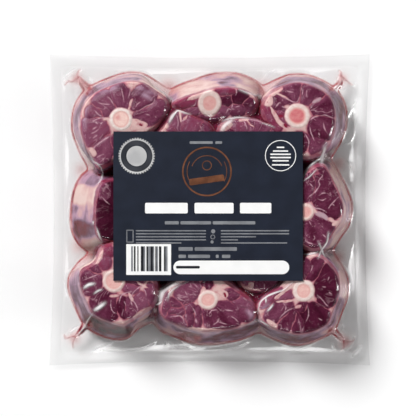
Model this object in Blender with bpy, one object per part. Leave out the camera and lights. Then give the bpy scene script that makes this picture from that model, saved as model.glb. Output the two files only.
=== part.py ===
"""Clear vacuum pouch of bone-in goat leg slices, lying flat, with a printed card label on top.

Metres, +Z up, +X across the pouch and +Y along it, origin on the surface that it rests on.
The pouch and the meat sealed in it are one solid, the outer form of the film. Each slice is a loft
from its cut face to its foot. The film is a stretched skin that the vacuum pulls onto the slices and
together between them, worked out on a grid. Sizes are in millimetres until the meshes are made.
"""
from dataclasses import dataclass
import math

import bmesh
import bpy
from mathutils import Vector
from mathutils.bvhtree import BVHTree
import numpy as np

MM = 0.001

# Pouch: a 12 inch square bag, its edges drawn in by the vacuum.
POUCH_HALF_X = 152.5
POUCH_HALF_Y = 148.0
EDGE_BOW_X = 4.3
EDGE_BOW_Y = 3.6
FILM_PAIR = 1.0
SEAM_INNER = 9.0
SEAM_OUTER = 4.0
SEAM_DROOP_REACH = 26.0
SEAM_WAVE = 0.7

# Vacuum: curvature of the free film where nothing carries it, per millimetre, and skin over the meat.
TOP_PULL = 0.55
UNDER_PULL = 0.35
SKIN = 0.3
GRID_X = 160
GRID_Y = 156
RELAX_STEPS = 900
SMOOTH_STEPS = 2
BAG_TRIANGLES = 9400

# Slices: height of a cut face, roundings, and how their walls spread to the foot.
SLICE_TOP = 41.0
WIDEST = 10.0
EDGE_ROUND = 2.2
WALL_SPREAD = 2.5
OUTER_SPREAD = 6.5
FOOT_TUCK = 6.0
RING_POINTS = 48
BONE_RADIUS = 10.5
BONE_STAND = 0.9

# Label: a card of 175 x 138 mm with a slight crown, 0.3 mm clear of the film.
LABEL_CENTRE = (-1.3, 3.3)
LABEL_HALF = (87.8, 69.2)
LABEL_THICK = 0.5
LABEL_TOP = 44.6
LABEL_CROWN = (0.9, 0.7)
LABEL_GAP = 0.3
LABEL_REACH = 3.0
LABEL_CELLS = (12, 10)


@dataclass(frozen=True)
class Slice:
    """One leg slice: cut face outline, its height and fall, lean of its walls, and its bone."""
    outline: tuple
    rise: float = 0.0
    fall: tuple = (0.0, 0.0)
    lean: tuple = (0.0, 0.0)
    bone: tuple = None


SLICES = (
    # Top row, left, middle (leaning back, its face towards the label) and right.
    Slice(((-120, 78), (-118, 95), (-107, 108), (-83, 118), (-66, 119), (-53, 111), (-41, 101),
           (-40, 90), (-52, 76), (-72, 59), (-99, 40), (-107, 47), (-115, 60)), bone=(-82, 84)),
    Slice(((-33, 98), (-24, 104), (-12, 108), (6, 113), (25, 113), (40, 107), (44, 99), (38, 88),
           (26, 83), (0, 82), (-20, 87)), rise=-1.5, fall=(0.0, 0.22), lean=(0.0, 6.0), bone=(0, 99)),
    Slice(((54, 105), (65, 113), (79, 118), (93, 116), (107, 109), (115, 99), (117, 83), (113, 66),
           (104, 54), (88, 49), (73, 58), (57, 76), (50, 93)), lean=(3.0, 0.0), bone=(81, 87)),
    # Second row, mostly under the label.
    Slice(((-41, 80), (-31, 92), (-18, 88), (0, 77), (4, 58), (-12, 36), (-40, 35), (-54, 56)), rise=0.8),
    Slice(((10, 76), (21, 83), (30, 85), (45, 83), (60, 75), (70, 58), (56, 34), (26, 32), (9, 54)),
          rise=0.8),
    # Left middle, leaning to the left with its fat side showing, and right middle.
    Slice(((-99, 25), (-104, 14), (-106, -3), (-105, -18), (-98, -28), (-78, -28), (-60, -16),
           (-58, 6), (-68, 22), (-84, 27)), rise=-5.0, fall=(-0.26, 0.0), lean=(-16.0, 0.0)),
    Slice(((105, 41), (115, 27), (124, 6), (123, -9), (116, -20), (106, -34), (90, -35), (70, -16),
           (72, 12), (88, 33)), rise=0.4, bone=(89, -2)),
    # Two more in the middle, and the low one between the bottom slices.
    Slice(((-50, -22), (-44, 4), (-34, 20), (-6, 24), (8, 12), (10, -14), (2, -38), (-24, -46),
           (-46, -40)), rise=1.2),
    Slice(((22, -12), (18, 12), (30, 22), (54, 24), (62, 10), (62, -14), (52, -34), (34, -36)), rise=1.2),
    Slice(((28, -66), (33, -74), (49, -77), (62, -71), (66, -56), (50, -40), (32, -48)), rise=-5.0),
    # Bottom row, left, middle and right.
    Slice(((-120, -69), (-119, -58), (-107, -50), (-99, -36), (-80, -32), (-62, -48), (-50, -72),
           (-54, -89), (-75, -103), (-83, -107), (-105, -99), (-114, -85)), lean=(-3.0, -7.0),
          bone=(-89, -66)),
    Slice(((-45, -88), (-42, -101), (-26, -108), (-8, -113), (11, -112), (28, -109), (40, -103),
           (43, -94), (36, -84), (21, -72), (0, -58), (-20, -56), (-35, -68)), lean=(0.0, -4.5),
          bone=(-1, -84)),
    Slice(((102, -43), (118, -59), (121, -76), (114, -96), (107, -108), (83, -116), (55, -108),
           (46, -96), (48, -86), (64, -72), (76, -54), (90, -43)), lean=(0.0, -2.0), bone=(88, -75)),
)

# Corner creases: from a slice's corner to the fork, then the two prongs on the pocket's corner arc.
CREASES = (
    ((-118, 115), (-124, 125), (-122, 133), (-137, 119)),
    ((119, 115), (123, 125), (123, 133), (135, 118)),
    ((-114, -101), (-127, -120), (-139, -119), (-129, -130)),
    ((112, -111), (126, -124), (137, -121), (125, -134)),
)
CREASE_HEIGHT = 2.0
CREASE_WIDTH = 2.4

FILM_COLOUR = (0.60, 0.33, 0.36, 1.0)
LABEL_COLOUR = (0.022, 0.026, 0.035, 1.0)


def remove_objects():
    """Empties the scene of objects."""
    for item in list(bpy.data.objects):
        bpy.data.objects.remove(item, do_unlink=True)


def finish(name, colour, roughness):
    """A plain Principled material."""
    material = bpy.data.materials.new(name)
    material.use_nodes = True
    shader = material.node_tree.nodes["Principled BSDF"]
    shader.inputs["Base Color"].default_value = colour
    shader.inputs["Roughness"].default_value = roughness
    shader.inputs["Metallic"].default_value = 0.0
    return material


def smooth_step(value, low, high):
    """0 below low, 1 above high, and a smooth rise between."""
    t = np.clip((value - low) / (high - low), 0.0, 1.0)
    return t * t * (3.0 - 2.0 * t)


def closed_curve(points, count):
    """Evenly spaced points on the closed Catmull-Rom curve through the given ones."""
    knots = np.array(points, float)
    t = np.linspace(0.0, 1.0, 12, endpoint=False)[:, None]
    fine = []
    for i in range(len(knots)):
        a, b, c, d = (knots[(i + k) % len(knots)] for k in (-1, 0, 1, 2))
        fine.append(b + 0.5 * t * (c - a + t * (2 * a - 5 * b + 4 * c - d + t * (3 * (b - c) + d - a))))
    fine = np.vstack(fine)
    steps = np.linalg.norm(np.roll(fine, -1, axis=0) - fine, axis=1)
    along = np.concatenate(([0.0], np.cumsum(steps)))
    wanted = np.linspace(0.0, along[-1], count, endpoint=False)
    closed = np.vstack((fine, fine[:1]))
    return np.stack([np.interp(wanted, along, closed[:, k]) for k in (0, 1)], axis=1)


def outward_normals(ring):
    """Outward unit normals of a closed ring of points, whichever way it runs."""
    along = np.roll(ring, -2, axis=0) - np.roll(ring, 2, axis=0)
    area = np.sum(ring[:, 0] * np.roll(ring[:, 1], -1) - np.roll(ring[:, 0], -1) * ring[:, 1])
    normals = np.stack((along[:, 1], -along[:, 0]), axis=1) * math.copysign(1.0, area)
    return normals / np.linalg.norm(normals, axis=1, keepdims=True)


def slice_rings(piece):
    """The rings of a slice from its face's middle down over the edge and wall to its base."""
    edge = closed_curve(piece.outline, RING_POINTS)
    centre = edge.mean(axis=0)
    normals = outward_normals(edge)
    outward = edge / np.array((POUCH_HALF_X, POUCH_HALF_Y))
    towards_edge = smooth_step(np.sum(normals * outward, axis=1), 0.15, 0.75)
    leaning = np.maximum(0.0, normals @ np.array(piece.lean))
    spread = WALL_SPREAD + OUTER_SPREAD * towards_edge + leaning

    def at(offset):
        return edge + normals * np.reshape(offset, (-1, 1))

    def face(points):
        fall = (points - centre) @ np.array(piece.fall)
        return SLICE_TOP + piece.rise + fall

    rings = []
    for share in (0.02, 0.5, 0.85):
        points = centre + (at(-EDGE_ROUND) - centre) * share
        rings.append((points, face(points) + 0.5 * (1.0 - share)))
    rings.append((at(-EDGE_ROUND), face(at(-EDGE_ROUND)) - 0.1))
    rings.append((at(-0.3 * EDGE_ROUND), face(edge) - 0.35 * EDGE_ROUND))
    brow = face(edge) - EDGE_ROUND
    for share in (0.0, 0.35, 0.7, 1.0):
        rings.append((at(spread * share), brow + (WIDEST - brow) * share))
    rings.append((at(spread - 0.4 * FOOT_TUCK), np.full(RING_POINTS, 0.28 * WIDEST)))
    for share in (1.0, 0.02):
        rings.append((centre + (at(spread - FOOT_TUCK) - centre) * share, np.zeros(RING_POINTS)))
    return rings


def meat_tree():
    """One search tree of all the slices' surfaces."""
    verts, faces = [], []
    for piece in SLICES:
        first = len(verts)
        rings = slice_rings(piece)
        for points, heights in rings:
            verts += [(float(p[0]), float(p[1]), float(z)) for p, z in zip(points, heights)]
        for row in range(len(rings) - 1):
            for k in range(RING_POINTS):
                a, b = first + row * RING_POINTS + k, first + row * RING_POINTS + (k + 1) % RING_POINTS
                faces.append((a, b, b + RING_POINTS, a + RING_POINTS))
        last = first + (len(rings) - 1) * RING_POINTS
        faces.append(tuple(range(first, first + RING_POINTS)))
        faces.append(tuple(range(last, last + RING_POINTS)))
    return BVHTree.FromPolygons(verts, faces)


def pouch_grid():
    """Grid of points inside the pouch's outline, whose four edges bow inwards."""
    u, v = np.meshgrid(np.linspace(-1, 1, GRID_X + 1), np.linspace(-1, 1, GRID_Y + 1), indexing="ij")
    x = u * (POUCH_HALF_X - EDGE_BOW_X * (1.0 - v ** 2))
    y = v * (POUCH_HALF_Y - EDGE_BOW_Y * (1.0 - u ** 2))
    inset = np.minimum((1.0 - abs(u)) * POUCH_HALF_X, (1.0 - abs(v)) * POUCH_HALF_Y)
    return x, y, inset


def seam_height(x, y, inset):
    """Height of the plane where the two films meet, drooping and gently waving to the edge."""
    droop = 1.0 - smooth_step(inset, 0.0, SEAM_DROOP_REACH)
    wave = SEAM_WAVE * (np.sin(x / 21.0 + 0.6) + np.sin(y / 17.0 + 1.9))
    return SEAM_INNER + (SEAM_OUTER - SEAM_INNER) * droop + wave * droop


def ridge(x, y, start, end):
    """Height of a soft ridge along a straight crease."""
    a, b = np.array(start, float), np.array(end, float)
    along = b - a
    t = np.clip(((x - a[0]) * along[0] + (y - a[1]) * along[1]) / (along @ along), 0.0, 1.0)
    gap = np.hypot(x - a[0] - t * along[0], y - a[1] - t * along[1])
    return CREASE_HEIGHT * np.exp(-(gap / CREASE_WIDTH) ** 2)


def label_surface(x, y):
    """Height of the label's upper face."""
    across = (x - LABEL_CENTRE[0]) / LABEL_HALF[0]
    along = (y - LABEL_CENTRE[1]) / LABEL_HALF[1]
    return LABEL_TOP - LABEL_CROWN[0] * across ** 2 - LABEL_CROWN[1] * along ** 2


def relax(start, limit, pull, spacing):
    """Film pulled towards the seam by the vacuum, kept on or above the limit that carries it."""
    height = start.copy()
    for _ in range(RELAX_STEPS):
        mean = (height[:-2, 1:-1] + height[2:, 1:-1] + height[1:-1, :-2] + height[1:-1, 2:]) / 4.0
        height[1:-1, 1:-1] = np.maximum(mean - pull * spacing ** 2 / 4.0, limit[1:-1, 1:-1])
    return height


def soften(height):
    """Rounds the film over sharp brows by averaging neighbours."""
    for _ in range(SMOOTH_STEPS):
        mean = (height[:-2, 1:-1] + height[2:, 1:-1] + height[1:-1, :-2] + height[1:-1, 2:]) / 4.0
        height[1:-1, 1:-1] = (height[1:-1, 1:-1] + mean) / 2.0
    return height


def film_heights(x, y, inset):
    """Upper and lower heights of the sealed pouch over the grid."""
    tree = meat_tree()
    seam = seam_height(x, y, inset)
    upper, lower = seam + FILM_PAIR / 2, seam - FILM_PAIR / 2
    for index in np.ndindex(x.shape):
        point = (float(x[index]), float(y[index]))
        hit = tree.ray_cast(Vector((*point, 90.0)), Vector((0, 0, -1)))[0]
        if hit is not None:
            upper[index] = max(upper[index], hit.z + SKIN)
            below = tree.ray_cast(Vector((*point, -50.0)), Vector((0, 0, 1)))[0]
            lower[index] = min(lower[index], below.z)
    for piece in SLICES:
        if piece.bone:
            reach = np.hypot(x - piece.bone[0], y - piece.bone[1])
            upper += BONE_STAND * (1.0 - smooth_step(reach, BONE_RADIUS - 1.5, BONE_RADIUS + 1.0))
    for stem, fork, left, right in CREASES:
        rise = np.maximum.reduce([ridge(x, y, stem, fork), ridge(x, y, fork, left),
                                  ridge(x, y, fork, right)])
        upper = np.maximum(upper, seam + FILM_PAIR / 2 + rise)
    under_label = abs(x - LABEL_CENTRE[0]) < LABEL_HALF[0] + LABEL_REACH
    under_label &= abs(y - LABEL_CENTRE[1]) < LABEL_HALF[1] + LABEL_REACH
    ceiling = label_surface(x, y) - LABEL_THICK - LABEL_GAP
    upper = np.where(under_label, np.minimum(upper, ceiling), upper)
    spacing = 2.0 * POUCH_HALF_X / GRID_X
    top = soften(relax(upper, upper, TOP_PULL, spacing))
    bottom = -soften(relax(-lower, -lower, UNDER_PULL, spacing))
    top = np.where(under_label, np.minimum(top, ceiling), top)
    bottom = np.where(bottom < 0.02, 0.0, bottom)
    return top, bottom


def make_object(name, bm, material):
    """Turns a bmesh in millimetres into a named object in metres."""
    bmesh.ops.scale(bm, vec=(MM, MM, MM), verts=bm.verts)
    bmesh.ops.recalc_face_normals(bm, faces=bm.faces)
    mesh = bpy.data.meshes.new(name)
    bm.to_mesh(mesh)
    bm.free()
    mesh.materials.append(material)
    item = bpy.data.objects.new(name, mesh)
    bpy.context.scene.collection.objects.link(item)
    return item


def sheet_solid(x, y, top, bottom):
    """Closed bmesh between two height fields that share a grid."""
    bm = bmesh.new()
    layers = []
    for heights in (top, bottom):
        layers.append([[bm.verts.new((x[i, j], y[i, j], heights[i, j])) for j in range(x.shape[1])]
                       for i in range(x.shape[0])])
    upper, lower = layers
    last_i, last_j = x.shape[0] - 1, x.shape[1] - 1
    for i in range(last_i):
        for j in range(last_j):
            bm.faces.new((upper[i][j], upper[i + 1][j], upper[i + 1][j + 1], upper[i][j + 1]))
            bm.faces.new((lower[i][j], lower[i][j + 1], lower[i + 1][j + 1], lower[i + 1][j]))
    for i in range(last_i):
        bm.faces.new((upper[i + 1][0], upper[i][0], lower[i][0], lower[i + 1][0]))
        bm.faces.new((upper[i][last_j], upper[i + 1][last_j], lower[i + 1][last_j], lower[i][last_j]))
    for j in range(last_j):
        bm.faces.new((upper[0][j], upper[0][j + 1], lower[0][j + 1], lower[0][j]))
        bm.faces.new((upper[last_i][j + 1], upper[last_i][j], lower[last_i][j], lower[last_i][j + 1]))
    return bm


def lighten(item, triangles):
    """Collapses short edges until the object has about the wanted number of triangles."""
    bm = bmesh.new()
    bm.from_mesh(item.data)
    bmesh.ops.triangulate(bm, faces=bm.faces)
    bm.to_mesh(item.data)
    count = len(bm.faces)
    bm.free()
    modifier = item.modifiers.new("lighten", "DECIMATE")
    modifier.ratio = triangles / count
    modifier.use_collapse_triangulate = True
    evaluated = item.evaluated_get(bpy.context.evaluated_depsgraph_get())
    reduced = bpy.data.meshes.new_from_object(evaluated)
    for vert in reduced.vertices:
        if vert.co.z < 0.02 * MM:
            vert.co.z = 0.0
    item.modifiers.clear()
    item.data = reduced


def build_pouch():
    """The sealed pouch with the slices in it, one solid."""
    x, y, inset = pouch_grid()
    top, bottom = film_heights(x, y, inset)
    bm = sheet_solid(x, y, top, bottom)
    item = make_object("vacuum_bag", bm, finish("clear_film", FILM_COLOUR, 0.15))
    lighten(item, BAG_TRIANGLES)
    item.data.shade_smooth()
    item.data.set_sharp_from_angle(angle=math.radians(50))
    return item


def build_label():
    """The card label, lying on the pouch with a slight crown."""
    across = np.linspace(-LABEL_HALF[0], LABEL_HALF[0], LABEL_CELLS[0] + 1) + LABEL_CENTRE[0]
    along = np.linspace(-LABEL_HALF[1], LABEL_HALF[1], LABEL_CELLS[1] + 1) + LABEL_CENTRE[1]
    x, y = np.meshgrid(across, along, indexing="ij")
    top = label_surface(x, y)
    bm = sheet_solid(x, y, top, top - LABEL_THICK)
    bmesh.ops.triangulate(bm, faces=bm.faces)
    return make_object("label", bm, finish("coated_card", LABEL_COLOUR, 0.5))


def main():
    """Builds the two pieces."""
    remove_objects()
    build_pouch()
    build_label()


main()
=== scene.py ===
"""Dressed scene: a clear vacuum pouch of bone-in goat leg slices, with a printed card label on top.

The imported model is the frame. The pouch's one CAD solid gives way to the pieces it stands for: the
sawn slices, the two films that are sealed round them and the juice that creeps along their feet. The
CAD card stays, and gets its coated finish and its print. Sizes are in millimetres until a mesh is made.
"""
from dataclasses import dataclass
from enum import Enum
from functools import partial
import logging
import math
from typing import Any, Callable, Optional

import bpy
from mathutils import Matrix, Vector
from mathutils.bvhtree import BVHTree
import numpy as np


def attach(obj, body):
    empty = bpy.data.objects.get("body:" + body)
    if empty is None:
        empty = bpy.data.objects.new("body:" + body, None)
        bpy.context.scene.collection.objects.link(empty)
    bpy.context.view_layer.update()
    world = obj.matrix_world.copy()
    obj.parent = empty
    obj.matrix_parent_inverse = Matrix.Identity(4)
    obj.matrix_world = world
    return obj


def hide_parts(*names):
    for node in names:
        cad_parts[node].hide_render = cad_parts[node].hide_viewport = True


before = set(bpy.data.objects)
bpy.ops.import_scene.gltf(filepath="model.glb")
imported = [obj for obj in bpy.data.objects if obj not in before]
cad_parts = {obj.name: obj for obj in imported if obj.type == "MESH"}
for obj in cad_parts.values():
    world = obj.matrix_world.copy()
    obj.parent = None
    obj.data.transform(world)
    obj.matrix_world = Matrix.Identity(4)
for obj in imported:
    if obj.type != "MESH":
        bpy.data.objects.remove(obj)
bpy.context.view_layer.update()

LOG = logging.getLogger("goat_leg_pack")
MM = 0.001
BODY = "root"
POUCH_HALF = (152.5, 148.0)
WHITE = (1.0, 1.0, 1.0, 1.0)
# Turn whole coordinates and a seed to values without a visible order.
SCATTER_X, SCATTER_Y, SCATTER_SEED, SCATTER = 127.1, 311.7, 74.7, 43758.5453
Array = np.ndarray
Fields = dict[str, np.ndarray]
Mesh = tuple[np.ndarray, np.ndarray]
Row = tuple[float, ...]
Socket = bpy.types.NodeSocket
Material = bpy.types.Material
Piece = bpy.types.Object


class Slot(Enum):
    """Names of the finishes' slots; a piece given one rides on the body and logs it."""
    FILM = "film"
    CARD = "card"
    MEAT = "meat"
    JUICE = "juice"


class CadNode(Enum):
    """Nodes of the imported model."""
    POUCH = "vacuum_bag"
    LABEL = "label"


def linear(hex_colour: str) -> Row:
    """Turns an sRGB hex colour to the linear values that Blender uses.

    Args:
        hex_colour: six hex digits after a hash.

    Returns:
        Linear red, green, blue and alpha.
    """
    values = [int(hex_colour[i:i + 2], 16) / 255.0 for i in (1, 3, 5)]
    return (*(v / 12.92 if v <= 0.04045 else ((v + 0.055) / 1.055) ** 2.4 for v in values), 1.0)


def period(millimetres: float) -> float:
    """Texture scale, for coordinates in metres, that repeats at about this many millimetres."""
    return 1.0 / (millimetres * MM)


def smooth_step(value: Array, low: float, high: float) -> Array:
    """0 below low, 1 above high, and a smooth rise between."""
    t = np.clip((value - low) / (high - low), 0.0, 1.0)
    return t * t * (3.0 - 2.0 * t)


def bell(gap: Array, width: float) -> Array:
    """1 where there is no gap, a third at this width, and next to nothing at twice the width."""
    return np.exp(-(gap / width) ** 2)


def blunt(share: Array) -> Array:
    """Taper of a line along its run: full for most of it, and fading at both ends."""
    return np.sin(math.pi * np.clip(share, 0.03, 0.97)) ** 0.5


def field_noise(x: Array, y: Array, cell: float, seed: int) -> Array:
    """Smooth random field over the plane, the same each run.

    Args:
        x: first coordinate.
        y: second coordinate.
        cell: size of a lattice cell.
        seed: picks the field.

    Returns:
        Values between -1 and 1.
    """
    x, y = x / cell, y / cell
    cell_x, cell_y = np.floor(x), np.floor(y)
    u, v = smooth_step(x - cell_x, 0.0, 1.0), smooth_step(y - cell_y, 0.0, 1.0)

    def corner(i: int, j: int) -> Array:
        """Value at one corner of each cell."""
        value = np.sin((cell_x + i) * SCATTER_X + (cell_y + j) * SCATTER_Y + seed * SCATTER_SEED) * SCATTER
        return 2.0 * (value - np.floor(value)) - 1.0

    low, high = (corner(0, j) * (1.0 - u) + corner(1, j) * u for j in (0, 1))
    return low * (1.0 - v) + high * v


def catmull_rom(knots: Array, steps: int) -> Array:
    """Curve through all knots but the first and the last.

    Args:
        knots: points, count x 2.
        steps: steps to each span.

    Returns:
        Points of the curve, the last knot but one among them.
    """
    t = np.linspace(0.0, 1.0, steps, endpoint=False)[:, None]
    fine = [b + 0.5 * t * (c - a + t * (2 * a - 5 * b + 4 * c - d + t * (3 * (b - c) + d - a)))
            for a, b, c, d in zip(knots[:-3], knots[1:-2], knots[2:-1], knots[3:])]
    return np.vstack(fine + [knots[-2:-1]])


def run_lengths(line: Array) -> Array:
    """How far along a line each of its points lies."""
    return np.concatenate(([0.0], np.cumsum(np.linalg.norm(np.diff(line, axis=0), axis=1))))


def closed_curve(points: tuple, count: int) -> Array:
    """Evenly spaced points on the closed curve through the given ones.

    Args:
        points: x and y of each corner point in turn.
        count: how many points to return.

    Returns:
        Array of count x 2.
    """
    knots = np.reshape(points, (-1, 2)).astype(float)
    closed = catmull_rom(np.vstack((knots[-1:], knots, knots[:2])), 12)
    along = run_lengths(closed)
    wanted = np.linspace(0.0, along[-1], count, endpoint=False)
    return np.stack([np.interp(wanted, along, closed[:, k]) for k in (0, 1)], axis=1)


def turning(ring: Array) -> float:
    """1 for a ring that runs counterclockwise, -1 for a clockwise one."""
    after = np.roll(ring, -1, axis=0)
    return math.copysign(1.0, np.sum(ring[:, 0] * after[:, 1] - after[:, 0] * ring[:, 1]))


def outward_normals(ring: Array) -> Array:
    """Outward directions round a closed ring, taken over a 24th of its length.

    Args:
        ring: points in order, count x 2.

    Returns:
        Unit normals, count x 2.
    """
    reach = max(1, len(ring) // 24)
    along = np.roll(ring, -reach, axis=0) - np.roll(ring, reach, axis=0)
    normals = np.stack((along[:, 1], -along[:, 0]), axis=1) * turning(ring)
    return normals / np.linalg.norm(normals, axis=1, keepdims=True)


def grid_quads(shape: tuple) -> Array:
    """Corner numbers of the cells of a grid of points.

    Args:
        shape: how many points there are each way.

    Returns:
        Array of cells x 4, in order round each cell.
    """
    number = np.arange(math.prod(shape)).reshape(shape)
    corners = (number[:-1, :-1], number[1:, :-1], number[1:, 1:], number[:-1, 1:])
    return np.stack([corner.ravel() for corner in corners], axis=1)


def curve_gap(x: Array, y: Array, run: Any, reach: float = 14.0) -> tuple[Array, Array]:
    """Distance from the curve through some points, and how far along it the nearest point is.

    Args:
        x: first coordinate of the places.
        y: second coordinate.
        run: x and y of each point of the curve in turn.
        reach: places further than this from the curve's box aren't measured.

    Returns:
        Distance in millimetres (a million where not measured), and share of the run from 0 to 1.
    """
    knots = np.reshape(run, (-1, 2)).astype(float)
    corners = catmull_rom(np.vstack((knots[:1], knots, knots[-1:])), 5)
    low, high = corners.min(axis=0) - reach, corners.max(axis=0) + reach
    near = (x > low[0]) & (x < high[0]) & (y > low[1]) & (y < high[1])
    px, py = x[near], y[near]
    ends = run_lengths(corners)
    best, share = np.full(px.shape, 1e6), np.zeros(px.shape)
    for k, (a, b) in enumerate(zip(corners[:-1], corners[1:])):
        step = b - a
        t = np.clip(((px - a[0]) * step[0] + (py - a[1]) * step[1]) / (step @ step), 0.0, 1.0)
        gap = np.hypot(px - a[0] - t * step[0], py - a[1] - t * step[1])
        share = np.where(gap < best, (ends[k] + t * (ends[k + 1] - ends[k])) / ends[-1], share)
        best = np.minimum(best, gap)
    gaps, shares = np.full(x.shape, 1e6), np.zeros(x.shape)
    gaps[near], shares[near] = best, share
    return gaps, shares


def add_node(tree: bpy.types.NodeTree, kind: str, inputs: Any = (), out: Any = 0, stops: tuple = (),
             **settings: Any) -> Socket:
    """Adds a shader node with its settings, its own values and what is linked into it.

    Args:
        tree: node tree to add to.
        kind: Blender's name for the node, without "ShaderNode".
        inputs: a value or an output socket for each input, in order or by name or number.
        out: name or number of the output that is wanted.
        stops: places and hex colours of a colour ramp.
        settings: other properties of the node.

    Returns:
        That output of the new node.
    """
    node = tree.nodes.new("ShaderNode" + kind)
    for name, value in settings.items():
        setattr(node, name, value)
    for key, item in inputs.items() if isinstance(inputs, dict) else enumerate(inputs):
        if isinstance(item, Socket):
            tree.links.new(item, node.inputs[key])
        else:
            node.inputs[key].default_value = item
    if stops:
        ramp = node.color_ramp
        while len(ramp.elements) < len(stops):
            ramp.elements.new(1.0)
        for element, (place, colour) in zip(ramp.elements, stops):
            element.position = place
            element.color = linear(colour)
    return node.outputs[out]


@dataclass(frozen=True)
class Finish:
    """A real material, named with the way its surface was made; each kind adds its own nodes."""
    name: str

    def surface(self, add: Callable[..., Socket]) -> Socket:
        """The finish's shader, made with the function that adds a node to its tree."""
        raise NotImplementedError(self.name)

    def make(self) -> Material:
        """Makes the node material.

        Returns:
            The new material.
        """
        material = bpy.data.materials.new(self.name)
        material.use_nodes = True
        tree = material.node_tree
        tree.nodes.clear()
        output = tree.nodes.new("ShaderNodeOutputMaterial")
        tree.links.new(self.surface(partial(add_node, tree)), output.inputs["Surface"])
        return material


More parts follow.
